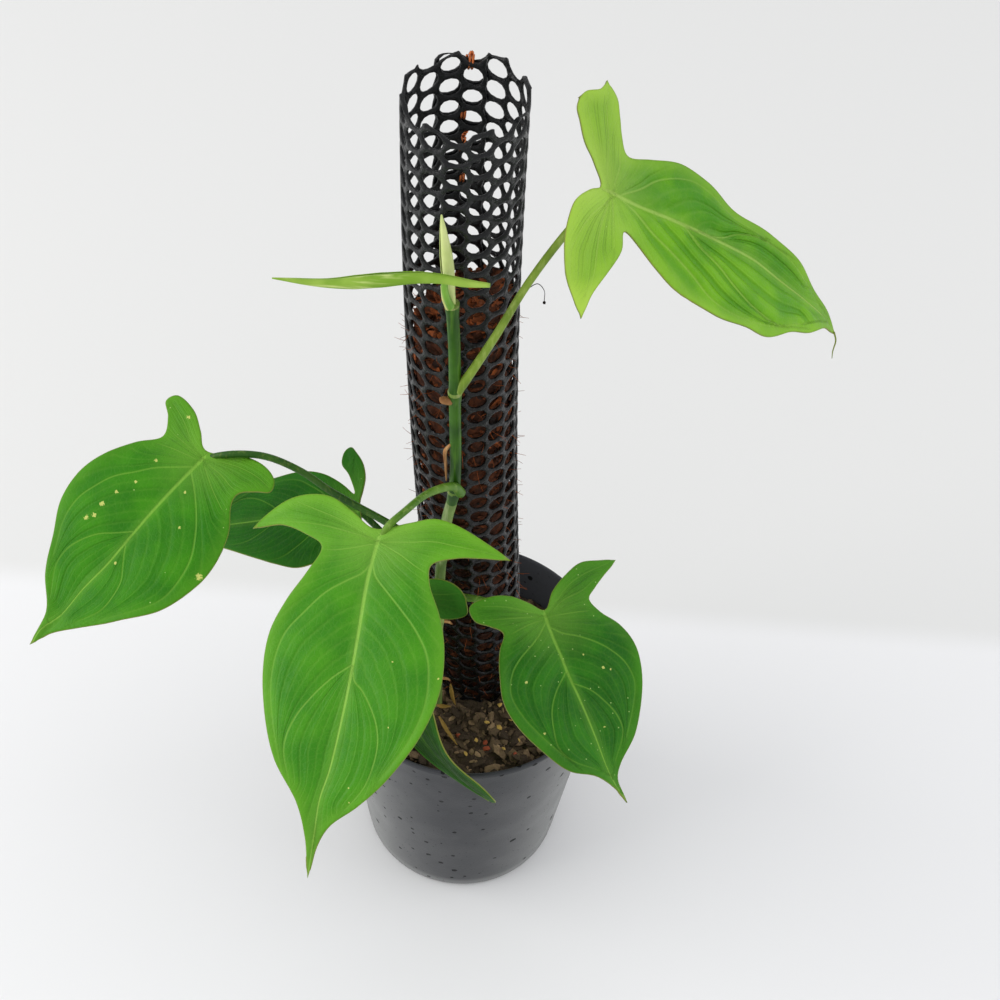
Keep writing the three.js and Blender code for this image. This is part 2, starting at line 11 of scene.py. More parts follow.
import bmesh
import bpy
import numpy as np
from mathutils import Matrix, Vector, noise
from mathutils.geometry import delaunay_2d_cdt


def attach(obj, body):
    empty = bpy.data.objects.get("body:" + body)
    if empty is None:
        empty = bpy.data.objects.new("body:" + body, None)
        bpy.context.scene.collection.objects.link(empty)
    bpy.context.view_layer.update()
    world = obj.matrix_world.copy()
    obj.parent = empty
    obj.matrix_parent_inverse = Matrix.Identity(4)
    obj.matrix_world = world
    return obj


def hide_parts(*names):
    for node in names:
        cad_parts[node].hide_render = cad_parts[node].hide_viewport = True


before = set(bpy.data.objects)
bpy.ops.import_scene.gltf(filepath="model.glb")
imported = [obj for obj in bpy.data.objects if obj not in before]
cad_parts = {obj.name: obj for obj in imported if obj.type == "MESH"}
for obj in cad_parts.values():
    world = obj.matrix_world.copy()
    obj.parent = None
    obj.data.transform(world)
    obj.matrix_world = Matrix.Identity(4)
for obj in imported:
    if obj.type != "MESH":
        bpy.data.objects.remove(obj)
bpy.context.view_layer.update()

print("packed nodes:", len(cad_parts))

# %% [markdown]
# The shapes are worked out in millimetres, as a grower measures a plant, and each mesh is scaled to metres in one
# last step. One helper finishes every piece, so that none is left without its body, its slot or its node.

# %% Finish a piece
MM = 0.001


def mesh_from(bm, name):
    mesh = bpy.data.meshes.new(name)
    bm.to_mesh(mesh)
    bm.free()
    return mesh


def add_object(name, data):
    made = bpy.data.objects.new(name, data)
    bpy.context.scene.collection.objects.link(made)
    return made


def finish_piece(bm, name, materials, node_name, smooth=True):
    for face in bm.faces:
        face.smooth = smooth
    bmesh.ops.scale(bm, vec=(MM, MM, MM), verts=bm.verts)
    mesh = mesh_from(bm, name)
    for material in materials:
        mesh.materials.append(material)
    piece = add_object(name, mesh)
    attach(piece, "root")
    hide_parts(node_name)
    print(name, "faces:", len(mesh.polygons))
    return piece


# %% [markdown]
# Living stems and veins never follow straight lines. A centripetal Catmull-Rom curve goes through each given
# point without loops, so a few measured points are enough. It is then cut at even distances.

# %% Curves through points
CLOSEST = 1e-4


def curve_through(points, steps, closed=False):
    places = np.array(points, float)
    if closed:
        ring = np.vstack([places[-1:], places, places[:2]])
    else:
        ring = np.vstack([2 * places[:1] - places[1:2], places, 2 * places[-1:] - places[-2:-1]])
    out = []
    for corners in zip(ring, ring[1:], ring[2:], ring[3:]):
        before, here, following, last = corners
        gaps = [max(np.linalg.norm(b - a), CLOSEST) ** 0.5 for a, b in zip(corners, corners[1:])]
        leave = (here - before) / gaps[0] - (following - before) / (gaps[0] + gaps[1])
        leave = (leave + (following - here) / gaps[1]) * gaps[1]
        arrive = (following - here) / gaps[1] - (last - here) / (gaps[1] + gaps[2])
        arrive = (arrive + (last - following) / gaps[2]) * gaps[1]
        square = 3 * (following - here) - 2 * leave - arrive
        cube = 2 * (here - following) + leave + arrive
        for k in range(steps):
            t = k / steps
            out.append(here + leave * t + square * t * t + cube * t ** 3)
    out.append(places[0] if closed else places[-1])
    return np.array(out)


def even_points(line, gap):
    lengths = np.linalg.norm(np.diff(line, axis=0), axis=1)
    reach = np.concatenate([[0], np.cumsum(lengths)])
    count = max(2, round(reach[-1] / gap))
    at = np.linspace(0, reach[-1], count + 1)
    return np.stack([np.interp(at, reach, line[:, k]) for k in range(line.shape[1])], axis=1)


# %% [markdown]
# A stem, a stalk, a fibre and a wire are all round things swept along a path. A flat grid is rolled into a tube
# round the path, its seam is merged, and its first and last rings shrink to a point, which closes the ends.

# %% Swept tubes
MERGE = 1e-3


def path_frames(path):
    points = [Vector(p) for p in path]
    tangents = []
    for i in range(len(points)):
        ahead = points[min(i + 1, len(points) - 1)] - points[max(i - 1, 0)]
        tangents.append(ahead.normalized())
    side = tangents[0].orthogonal().normalized()
    frames = []
    for point, tangent in zip(points, tangents):
        side = (side - tangent * side.dot(tangent)).normalized()
        frames.append((point, side, tangent.cross(side)))
    return frames


def numbered_grid(bm, columns, rows):
    verts = bmesh.ops.create_grid(bm, x_segments=columns, y_segments=rows, size=0.5)["verts"]
    return [(v, round((v.co.x + 0.5) * columns) / columns, round((v.co.y + 0.5) * rows)) for v in verts]


def weld(bm):
    bmesh.ops.remove_doubles(bm, verts=bm.verts, dist=MERGE)
    bmesh.ops.recalc_face_normals(bm, faces=bm.faces)


def sweep_tube(bm, path, radii, sides, material=0):
    frames = path_frames(path)
    stations = [frames[0]] + frames + [frames[-1]]
    widths = [0, *radii, 0]
    grid = numbered_grid(bm, sides, len(stations) - 1)
    for vert, share, row in grid:
        point, side, across = stations[row]
        turn = 2 * math.pi * share
        vert.co = point + (side * math.cos(turn) + across * math.sin(turn)) * widths[row]
    bmesh.ops.remove_doubles(bm, verts=[vert for vert, share, row in grid], dist=MERGE)
    verts = [vert for vert, share, row in grid if vert.is_valid]
    faces = {face for vert in verts for face in vert.link_faces}
    for face in faces:
        face.material_index = material
    bmesh.ops.recalc_face_normals(bm, faces=list(faces))
    return verts


def tapered(values, count):
    return np.interp(np.linspace(0, 1, count), np.linspace(0, 1, len(values)), values)


def sweep_curve(bm, places, steps, widths, sides, material=0):
    path = curve_through(places, steps)
    return sweep_tube(bm, path, tapered(widths, len(path)), sides, material)


# %% [markdown]
# A finish is a small graph of nodes round one Principled shader. A value stands for one output of a node, and
# sums and products of values add Math nodes, so a finish reads from top to bottom as it is layered. Colours are
# given as red, green and blue out of 255.

# %% Material helpers
def colour(red, green, blue):
    def linear(level):
        share = level / 255
        return share / 12.92 if share <= 0.04045 else ((share + 0.055) / 1.055) ** 2.4

    return (linear(red), linear(green), linear(blue), 1.0)


def add_node(tree, kind, settings, inputs, output=0):
    made = tree.nodes.new(kind)
    for name, value in settings.items():
        setattr(made, name, value)
    for socket, value in inputs.items():
        if isinstance(value, Value):
            value.to(made.inputs[socket])
        else:
            made.inputs[socket].default_value = value
    return Value(made.outputs[output])


class Value:
    def __init__(self, socket):
        self.socket = socket
        self.node = socket.node
        self.tree = socket.id_data

    def to(self, socket):
        self.tree.links.new(self.socket, socket)

    def math(self, operation, other=0.0, clamp=False):
        settings = {"operation": operation, "use_clamp": clamp}
        return add_node(self.tree, "ShaderNodeMath", settings, {0: self, 1: other})

    def __add__(self, other):
        return self.math("ADD", other)

    def __sub__(self, other):
        return self.math("SUBTRACT", other)

    def __mul__(self, other):
        return self.math("MULTIPLY", other)

    def __truediv__(self, other):
        return self.math("DIVIDE", other)

    def __abs__(self):
        return self.math("ABSOLUTE")

    def below(self, other):
        return self.math("LESS_THAN", other)

    def fade(self, start, end, low=0.0, high=1.0):
        inputs = {0: self, 1: start, 2: end, 3: low, 4: high}
        return add_node(self.tree, "ShaderNodeMapRange", {"interpolation_type": "SMOOTHSTEP"}, inputs)


def pick(operation, first, *others):
    for other in others:
        first = first.math(operation, other)
    return first


largest = partial(pick, "MAXIMUM")
smallest = partial(pick, "MINIMUM")


def mix(share, low, high):
    low, high = [end if isinstance(end, Value) else colour(*end) for end in (low, high)]
    return add_node(share.tree, "ShaderNodeMix", {"data_type": "RGBA"}, {0: share, 6: low, 7: high}, 2)


def object_place(tree):
    return add_node(tree, "ShaderNodeTexCoord", {}, {}, "Object")


def attribute(tree, name):
    return add_node(tree, "ShaderNodeAttribute", {"attribute_name": name}, {}, "Vector")


def axes(vector):
    split = add_node(vector.tree, "ShaderNodeSeparateXYZ", {}, {0: vector}).node
    return [Value(socket) for socket in split.outputs]


def cloud(vector, scale, detail=3.0):
    inputs = {"Vector": vector, "Scale": scale, "Detail": detail}
    return add_node(vector.tree, "ShaderNodeTexNoise", {}, inputs, "Fac")


def cells(vector, scale, feature="F1"):
    inputs = {"Vector": vector, "Scale": scale}
    return add_node(vector.tree, "ShaderNodeTexVoronoi", {"feature": feature}, inputs, "Distance")


def chance(distance):
    return axes(Value(distance.node.outputs["Color"]))[0]


def new_material(name, shader_values):
    material = bpy.data.materials.new(name)
    material.use_nodes = True
    sockets = material.node_tree.nodes["Principled BSDF"].inputs
    for socket, value in shader_values.items():
        sockets[socket].default_value = value
    return material, material.node_tree, sockets


def add_relief(sockets, height, depth, strength=1.0):
    inputs = {"Height": height, "Distance": depth, "Strength": strength}
    add_node(height.tree, "ShaderNodeBump", {}, inputs, "Normal").to(sockets["Normal"])


def new_group(name, inputs, outputs):
    tree = bpy.data.node_groups.new(name, "ShaderNodeTree")
    for label, kind in inputs.items():
        tree.interface.new_socket(name=label, in_out="INPUT", socket_type="NodeSocket" + kind)
    for label, kind in outputs.items():
        tree.interface.new_socket(name=label, in_out="OUTPUT", socket_type="NodeSocket" + kind)
    given = tree.nodes.new("NodeGroupInput").outputs
    return tree, {label: Value(given[label]) for label in inputs}, tree.nodes.new("NodeGroupOutput").inputs


def place_group(tree, group, values):
    made = add_node(tree, "ShaderNodeGroup", {"node_tree": group}, values).node
    return {socket.name: Value(socket) for socket in made.outputs}


# %% [markdown]
# The floor is plain and pale, with a slightly darker tone far behind the pot, where the photo's backdrop rises.
# Daylight comes softly from the left through a big area light, a weaker one fills in from the right, and a nearly
# white world lights the rest.

# %% Floor, light and camera
FLOOR_HALF = 4.0
FAR_START, FAR_END = 0.135, 0.16
WORLD_TINT, WORLD_STRENGTH = (0.985, 0.99, 1.0, 1.0), 0.88
LIGHTS = {
    "window": {"place": (-1.85, -0.3, 1.1), "size": 1.7, "power": 22, "tint": (1.0, 0.99, 0.97)},
    "right_fill": {"place": (1.9, 0.0, 1.3), "size": 1.5, "power": 9, "tint": (0.96, 0.98, 1.0)},
}
LIGHT_TARGET = Vector((0, 0, 0.2))
PHOTO_CAMERA = {"place": (10.724, -531.183, 1006.268), "pitch": 52.586, "roll": 4.0277, "lens": 64.435}


def make_floor():
    bm = bmesh.new()
    bmesh.ops.create_grid(bm, x_segments=1, y_segments=1, size=FLOOR_HALF)
    floor = add_object("studio_floor", mesh_from(bm, "studio_floor"))
    material, tree, sockets = new_material("pale_floor", {"Roughness": 0.75})
    far = axes(object_place(tree))[1].fade(FAR_START, FAR_END)
    mix(far, (234, 234, 235), (223, 223, 222)).to(sockets["Base Color"])
    floor.data.materials.append(material)


def make_light(name, place, size, power, tint):
    lamp = bpy.data.lights.new(name, "AREA")
    lamp.size = size
    lamp.energy = power
    lamp.color = tint
    holder = add_object(name, lamp)
    holder.location = place
    holder.rotation_mode = "QUATERNION"
    holder.rotation_quaternion = (LIGHT_TARGET - Vector(place)).to_track_quat("-Z", "Y")


def make_camera(place, pitch, roll, lens):
    camera = add_object("photo_camera", bpy.data.cameras.new("photo_camera"))
    camera.data.lens = lens
    camera.data.sensor_width = 36
    p, r = math.radians(pitch), math.radians(roll)
    back = Vector((0, -math.cos(p), math.sin(p)))
    level, rise = Vector((1, 0, 0)), Vector((0, math.sin(p), math.cos(p)))
    right = level * math.cos(r) + rise * math.sin(r)
    up = rise * math.cos(r) - level * math.sin(r)
    turn = Matrix((right, up, back)).transposed().to_4x4()
    camera.matrix_world = Matrix.Translation(Vector(place) * MM) @ turn
    bpy.context.scene.camera = camera


make_floor()
for name, values in LIGHTS.items():
    make_light(name, **values)
make_camera(**PHOTO_CAMERA)
world = bpy.context.scene.world or bpy.data.worlds.new("daylight")
bpy.context.scene.world = world
world.use_nodes = True
world.node_tree.nodes["Background"].inputs["Color"].default_value = WORLD_TINT
world.node_tree.nodes["Background"].inputs["Strength"].default_value = WORLD_STRENGTH
bpy.context.scene.view_settings.view_transform = "Standard"
print("floor, lights:", len(LIGHTS), "and camera")

# %% [markdown]
# The pot is one thin moulded shell: a wall of even thickness, a rounded foot and a small rounded lip. A profile
# spun round the axis gives the shell, and six drain holes are then drilled through its floor. Its plastic is
# dark, with black pits of many sizes, and a painted sheen lightens it where it is seen at a flat angle.

# %% Spin the pot and drill its floor
POT = {"height": 170, "rim": 75, "foot": 57.8, "wall": 1.6, "floor": 2.4, "rounding": 3}
SPIN_STEPS = 144
DRAIN_HOLES = {"count": 6, "ring": 40, "radius": 6}


def pot_radius(z):
    return POT["foot"] + (POT["rim"] - POT["foot"]) * z / POT["height"]


def pot_profile():
    wall, floor, rounding, top = POT["wall"], POT["floor"], POT["rounding"], POT["height"]
    foot = POT["foot"]
    outside = [(0, 1.2), (foot - 14, 1.2), (foot - 12, 0), (foot - rounding, 0)]
    outside += [(foot - 0.9, 0.35 * rounding), (foot + 0.1, rounding)]
    outside += [(pot_radius(z) - 0.02, z) for z in range(12, 164, 8)]
    lip = [(pot_radius(165), 165), (pot_radius(168) + 0.1, 168), (pot_radius(169.6) - 0.35, 169.7)]
    lip += [(pot_radius(170) - 0.8, 170), (pot_radius(169.6) - 1.35, 169.7), (pot_radius(168) - wall, 168)]
    inside = [(pot_radius(z) - wall, z) for z in range(160, 8, -8)]
    inside += [(foot - wall, floor + rounding), (foot - rounding - wall, floor), (0, floor)]
    return [Vector((r, 0, z)) for r, z in outside + lip + inside]


def make_pot(material):
    bm = bmesh.new()
    verts = [bm.verts.new(p) for p in pot_profile()]
    edges = [bm.edges.new(pair) for pair in zip(verts, verts[1:])]
    spun = {"cent": (0, 0, 0), "axis": (0, 0, 1), "angle": 2 * math.pi, "steps": SPIN_STEPS}
    bmesh.ops.spin(bm, geom=verts + edges, use_merge=True, **spun)
    weld(bm)
    return finish_piece(bm, "nursery_pot", [material], "pot")


def cut_drain_holes(pot):
    bm = bmesh.new()
    radius = DRAIN_HOLES["radius"]
    sizes = {"segments": 32, "radius1": radius, "radius2": radius, "depth": 8}
    for k in range(DRAIN_HOLES["count"]):
        turn = 2 * math.pi * k / DRAIN_HOLES["count"]
        spot = Vector((math.cos(turn), math.sin(turn), 0)) * DRAIN_HOLES["ring"] + Vector((0, 0, 2))
        bmesh.ops.create_cone(bm, cap_ends=True, matrix=Matrix.Translation(spot), **sizes)
    bmesh.ops.scale(bm, vec=(MM, MM, MM), verts=bm.verts)
    cutters = add_object("drain_cutters", mesh_from(bm, "drain_cutters"))
    drill = pot.modifiers.new("drain_holes", "BOOLEAN")
    drill.object = cutters
    drill.solver = "EXACT"
    bpy.context.view_layer.update()
    pot.data = bpy.data.meshes.new_from_object(pot.evaluated_get(bpy.context.evaluated_depsgraph_get()))
    pot.modifiers.clear()
    bpy.data.objects.remove(cutters)
    print("pot faces with drain holes:", len(pot.data.polygons))


def pot_finish():
    material, tree, sockets = new_material("charcoal_plastic", {"Specular IOR Level": 0.12})
    place = object_place(tree)
    pits = cells(place, 125)
    ragged = (cloud(place, 600) - 0.5) * 0.16
    marks = (pits + ragged).below(chance(pits) * 0.4 - 0.14)
    marks = largest(marks, cells(place, 210).below(0.11) * 0.45)
    grain = cloud(place, 1100)
    base = mix(cloud(place, 9, 2.0), (46, 47, 51), (60, 61, 65))
    base = mix(grain * 0.25, base, (84, 86, 88))
    # Painted sheen: the base colour turns light grey where the wall is seen at a flat angle.
    grazing_sheen = add_node(tree, "ShaderNodeLayerWeight", {}, {"Blend": 0.5}, "Facing")
    base = mix(grazing_sheen.fade(0.58, 0.9, 0.0, 0.8), base, (146, 147, 146))
    mix(marks, base, (12, 13, 14)).to(sockets["Base Color"])
    cloud(place, 40).fade(0.3, 0.7, 0.44, 0.58).to(sockets["Roughness"])
    add_relief(sockets, grain * 0.3 - marks, 0.0005, 0.8)
    return material


cut_drain_holes(make_pot(pot_finish()))

# %% [markdown]
# The pole leans and bends a little. Its centre is a function of height, and everything that is tied to the pole
# is placed from it. The bark mix slopes down to the back and is heaped against the pole.

# %% Where the pole and the mix are
POLE_RADIUS = 25.2
POLE_TOP = 570
BEND = 0.000114
BEND_DEPTH = 273
MIX = {"front": 161, "fall": 27, "heap": 9, "heap_width": 16, "lumps": 1.7}


def pole_centre(z):
    down = POLE_TOP - z
    bent = min(max(down, 0), BEND_DEPTH)
    x = -12.7 + BEND * bent ** 2 + 2 * BEND * BEND_DEPTH * max(down - BEND_DEPTH, 0)
    return Vector((x, -6.7 + 0.0157 * down, z))


def on_pole(angle, z, radius):
    return pole_centre(z) + Vector((math.cos(angle), math.sin(angle), 0)) * radius


def mix_height(x, y):
    across = min(max((y / POT["rim"] + 1) / 2, 0), 1)
    slope = MIX["front"] - MIX["fall"] * across
    middle = pole_centre(slope)
    away = max(0, math.hypot(x - middle.x, y - middle.y) - POLE_RADIUS)
    lumps = math.sin(0.31 * x + 1.3) * math.cos(0.27 * y) + math.sin(0.52 * y + 0.19 * x)
    return slope + MIX["heap"] * math.exp(-((away / MIX["heap_width"]) ** 2)) + MIX["lumps"] * lumps


# %% [markdown]
# Bark mix is a bed of loose chips. A rough bed follows the mix's height, and many small chips with few faces lie
# half sunk in it, each turned at random and with its own tone, which the finish reads as an attribute.

# %% Chips and the bed
def crumb_group():
    inputs = {"Dark": "Color", "Light": "Color", "Grain": "Float"}
    tree, given, result = new_group("crumb", inputs, {"Colour": "Color", "Height": "Float"})
    tone = axes(attribute(tree, "tone"))[0]
    rough = cloud(object_place(tree), given["Grain"], 6.0)
    share = tone * 0.75 + rough * 0.25
    mix(share.fade(0.15, 0.9), given["Dark"], given["Light"]).to(result["Colour"])
    rough.to(result["Height"])
    return tree


CRUMB = crumb_group()


def crumb_finish(name, dark, light, grain, depth, rough):
    material, tree, sockets = new_material(name, {"Roughness": rough, "Specular IOR Level": 0.25})
    made = place_group(tree, CRUMB, {"Dark": colour(*dark), "Light": colour(*light), "Grain": grain})
    made["Colour"].to(sockets["Base Color"])
    add_relief(sockets, made["Height"], depth)
    return material


def add_chip(place, size, turn, tone, rng, material, bm, layer):
    shape = Matrix.Translation(place) @ turn.to_4x4() @ Matrix.Diagonal((*size, 1))
    verts = bmesh.ops.create_icosphere(bm, subdivisions=1, radius=0.5, matrix=shape)["verts"]
    for vert in verts:
        away = vert.co - Vector(place)
        vert.co = Vector(place) + away * rng.uniform(0.75, 1.25)
        vert[layer] = Vector((tone, 0, 0))
    if material:
        for face in {face for vert in verts for face in vert.link_faces}:
            face.material_index = material


def add_in_batches(bm, jobs, batch=50):
    for start in range(0, len(jobs), batch):
        part = bmesh.new()
        layer = part.verts.layers.float_vector.new("tone")
        for job in jobs[start:start + batch]:
            job(part, layer)
        mesh = mesh_from(part, "batch")
        bm.from_mesh(mesh)
        bpy.data.meshes.remove(mesh)


def random_turn(rng, flat=math.pi):
    spin = Matrix.Rotation(rng.uniform(0, 2 * math.pi), 3, "Z")
    tip = Matrix.Rotation(rng.uniform(-flat, flat), 3, "X")
    return Matrix.Rotation(rng.uniform(0, 2 * math.pi), 3, "Z") @ tip @ spin


BED_SIDES, BED_RINGS = 90, 34
BED_FOOT = [(0, 2.9), (52, 2.9), (57.4, 9)]
BED_REACH = 72.6
CHIP_COUNT = 2900
CHIP_REACH = 68
CHIP_LENGTHS = [1.5, 2, 2.5, 3, 4, 6, 9]
STRAW, RED = 1, 2
PAPERY_STRIPS = [
    [(-8.6, -32.2, 190), (-7.4, -33.2, 180), (-5.6, -33.0, 171)],
    [(-15.5, -34, 170.5), (-12, -35, 171.5), (-8, -34, 170.5)],
    [(-14, -38, 166), (-9, -45, 163.5), (-3, -52, 161)],
]
BITS = {
    STRAW: [
        (11.5, -14, 3.2), (18.4, -27.5, 3.4), (19.1, -39.4, 4), (11.9, -38.1, 3.4), (7, -47.8, 3), (25, -33, 3),
        (2, -56, 3.2), (30, -45, 2.6), (-22, -48, 3), (40, -20, 3), (22, -52, 3),
    ],
    RED: [(12, -48.7, 4), (12.7, -52.3, 4.5), (-3, -46, 4), (33, -30, 4), (28, -56, 3.5)],
}


def bed_place(share, row):
    turn = 2 * math.pi * share
    if row < len(BED_FOOT):
        radius, z = BED_FOOT[row]
        return Vector((radius * math.cos(turn), radius * math.sin(turn), z))
    reach = (BED_RINGS - row) / (BED_RINGS - len(BED_FOOT))
    x, y = BED_REACH * reach * math.cos(turn), BED_REACH * reach * math.sin(turn)
    z = mix_height(x, y)
    limit = pot_radius(z) - 2.1
    x, y = x * limit / BED_REACH, y * limit / BED_REACH
    z += 1.6 * noise.noise(Vector((x, y, 0)) * 0.35) * min(1, 6 * (1 - reach))
    return Vector((x, y, z))


def chip_jobs(rng):
    jobs = []
    while len(jobs) < CHIP_COUNT:
        x, y = rng.uniform(-71, 71), rng.uniform(-71, 71)
        z = mix_height(x, y)
        middle = pole_centre(z)
        if math.hypot(x, y) > CHIP_REACH or math.hypot(x - middle.x, y - middle.y) < POLE_RADIUS + 1.5:
            continue
        long = rng.choice(CHIP_LENGTHS) * rng.uniform(0.8, 1.2)
        size = (long, long * rng.uniform(0.4, 0.8), min(3.2, long * rng.uniform(0.2, 0.5)))
        place = Vector((x, y, z + rng.uniform(-0.3, 1.0)))
        tone = min(1, max(0, rng.gauss(0.3, 0.22)))
        jobs.append(partial(add_chip, place, size, random_turn(rng, 0.7), tone, rng, 0))
    for kind, bits in BITS.items():
        for x, y, long in bits:
            place = Vector((x, y, mix_height(x, y) + 2.0))
            size = (long, long * 0.7, long * 0.5)
            jobs.append(partial(add_chip, place, size, random_turn(rng, 0.5), 0.7, rng, kind))
    return jobs


def add_strip(places, bm, layer):
    for vert in sweep_curve(bm, places, 6, [0.5, 1.3, 1.0, 0.3], 6, STRAW):
        vert[layer] = Vector((0.25, 0, 0))


def make_bed(materials):
    bm = bmesh.new()
    layer = bm.verts.layers.float_vector.new("tone")
    for vert, share, row in numbered_grid(bm, BED_SIDES, BED_RINGS):
        vert.co = bed_place(share, row)
        vert[layer] = Vector((0.15 + 0.3 * noise.noise(vert.co * 0.2), 0, 0))
    weld(bm)
    jobs = chip_jobs(random.Random(11))
    add_in_batches(bm, jobs + [partial(add_strip, places) for places in PAPERY_STRIPS])
    return finish_piece(bm, "bark_bed", materials, "potting_mix", smooth=False)


make_bed([
    crumb_finish("damp_bark", (56, 45, 33), (152, 126, 94), 900, 0.0006, 0.85),
    crumb_finish("straw_bits", (120, 92, 36), (196, 162, 84), 500, 0.0003, 0.7),
    crumb_finish("red_bark", (84, 34, 18), (150, 72, 44), 500, 0.0003, 0.8),
])

# %% [markdown]
# The pole's net is a sheet of extruded plastic mesh: staggered six-sided holes with thick strands. Flat six-sided
# cells are laid side by side and merged, the Wireframe operator turns their edges into strands, the top is cut
# ragged as with scissors, and the sheet is rolled up with its edges overlapping at the back.

# %% Roll the net
NET = {
    "columns": 17, "columns_round": 16, "rows": 53, "middle": 24.0, "pitch_z": 10.5, "strand": 3.35,
    "flatness": 0.72, "foot": 22, "top": 568.2, "seam": math.radians(95), "lap": 40, "lap_lift": 1.15,
    "lap_turn": 0.16, "uneven": (0.6, 0.55),
}
NET_PITCH = 2 * math.pi * NET["middle"] / NET["columns_round"]


def cut_height(x):
    wave = 2.6 * noise.noise(Vector((x * 0.11, 3.1, 0))) + 3.4 * noise.noise(Vector((x * 0.5, 7.7, 0)))
    return NET["top"] + wave


def ease(share):
    share = min(max(share, 0), 1)
    return share * share * (3 - 2 * share)


def add_cell(shape, bm, layer):
    for vert in bmesh.ops.create_circle(bm, cap_ends=True, segments=6, radius=1, matrix=shape)["verts"]:
        vert[layer] = Vector((1, 0, 0))


def lay_cells(bm):
    wide, tall = 2 / 3 * NET_PITCH, NET["pitch_z"] / 2 / math.cos(math.radians(30))
    cell = Matrix.Diagonal((wide, tall, 1, 1)) @ Matrix.Rotation(math.pi / 6, 4, "Z")
    jobs = []
    for column in range(NET["columns"] + 1):
        for row in range(NET["rows"]):
            spot = (column * NET_PITCH, NET["foot"] + (row + (column % 2) / 2) * NET["pitch_z"], 0)
            jobs.append(partial(add_cell, Matrix.Translation(spot) @ cell))
    add_in_batches(bm, jobs)
    bmesh.ops.remove_doubles(bm, verts=bm.verts, dist=0.1)
    rng = random.Random(5)
    wide, tall = NET["uneven"]
    for vert in bm.verts:
        vert.co += Vector((rng.uniform(-wide, wide), rng.uniform(-tall, tall), 0))


def cut_ragged(bm):
    for vert in bm.verts:
        vert.co.z *= NET["flatness"]
        vert.co.y -= cut_height(vert.co.x)
    everything = bm.verts[:] + bm.edges[:] + bm.faces[:]
    bmesh.ops.bisect_plane(bm, geom=everything, plane_co=(0, 0, 0), plane_no=(0, 1, 0), clear_outer=True)
    for vert in bm.verts:
        vert.co.y += cut_height(vert.co.x)
    bmesh.ops.holes_fill(bm, edges=[edge for edge in bm.edges if edge.is_boundary], sides=0)
    bmesh.ops.recalc_face_normals(bm, faces=bm.faces)


def roll_up(bm):
    length, lap = NET["columns"] * NET_PITCH, NET["lap"]
    for vert in bm.verts:
        along, z, out = vert.co
        lift = NET["lap_lift"] * (ease((along - length + lap) / lap) - (1 - ease(along / lap)))
        angle = NET["seam"] - NET["lap_turn"] + along / NET["middle"]
        vert.co = on_pole(angle, z, NET["middle"] + out + lift)


def make_net(material):
    bm = bmesh.new()
    lay_cells(bm)
    strands = {"thickness": NET["strand"], "use_replace": True, "use_boundary": True, "use_even_offset": False}
    bmesh.ops.wireframe(bm, faces=bm.faces, **strands)
    cut_ragged(bm)
    roll_up(bm)
    net = finish_piece(bm, "rolled_net", [material], "pole_net")
    smooth = net.modifiers.new("round_strands", "SUBSURF")
    smooth.levels = 1
    smooth.render_levels = 1


def net_finish():
    material, tree, sockets = new_material("black_net_plastic", {"Specular IOR Level": 0.3})
    place = object_place(tree)
    mix(cloud(place, 60), (2, 3, 4), (10, 12, 15)).to(sockets["Base Color"])
    cloud(place, 130).fade(0.3, 0.7, 0.24, 0.42).to(sockets["Roughness"])
    add_relief(sockets, cloud(place, 300, 5.0), 0.0016)
    return material


make_net(net_finish())

# %% [markdown]
# The coir inside is a plug of rust-brown husk chips and fibres. A dark core fills the tube, flat flakes lie on
# it in every direction, and fine fibres stick out between the strands. Its top slopes up to the right, and its
# flakes are darker towards the bottom. One loose fibre with a knot hangs out on the right.

# %% Fill the pole with coir
COIR_FOOT, COIR_TOP = 25, 452
COIR_TILT, TILT_DEPTH = 0.5, 56
CORE_RADIUS, CORE_SIDES, CORE_RINGS = 20.6, 40, 90
CORE_CROWN = [18.5, 16, 13, 10, 7, 4, 2]
FLAKE_COUNT, TOP_FLAKES, FIBRE_COUNT = 3300, 420, 430
DARKER_BELOW, LIGHTENING_SPAN = 270, 140
HANGING_FIBRE = [(16, -7, 467), (20, -6.6, 470), (23, -6.3, 466), (23.4, -6, 459)]
KNOT = Vector((23.4, -6, 458.4))


def coir_top(x):
    return COIR_TOP + COIR_TILT * (x - pole_centre(COIR_TOP).x)


def tilt_rise(x, z):
    return (coir_top(x) - COIR_TOP) * min(1, max(0, (z - COIR_TOP + TILT_DEPTH) / TILT_DEPTH))


def add_fibre(strand, tone, bm, layer):
    for vert in sweep_tube(bm, strand, tapered([0.16, 0.14, 0.08], 5), 3):
        vert[layer] = Vector((tone, 0, 0))


def add_core(bm, layer):
    heights = list(np.linspace(COIR_FOOT, COIR_TOP, CORE_RINGS))
    heights += [COIR_TOP + 0.01 * k for k in range(1, len(CORE_CROWN) + 1)]
    path = [pole_centre(z) for z in heights]
    for vert in sweep_tube(bm, path, [CORE_RADIUS] * CORE_RINGS + CORE_CROWN, CORE_SIDES):
        vert.co.z += tilt_rise(vert.co.x, vert.co.z)
        bump = noise.noise(vert.co * 0.22)
        vert.co += (vert.co - pole_centre(vert.co.z)).normalized() * 0.9 * bump + Vector((0, 0, 1.5 * bump))
        vert[layer] = Vector((0.2 + 0.5 * abs(bump), 0, 0))


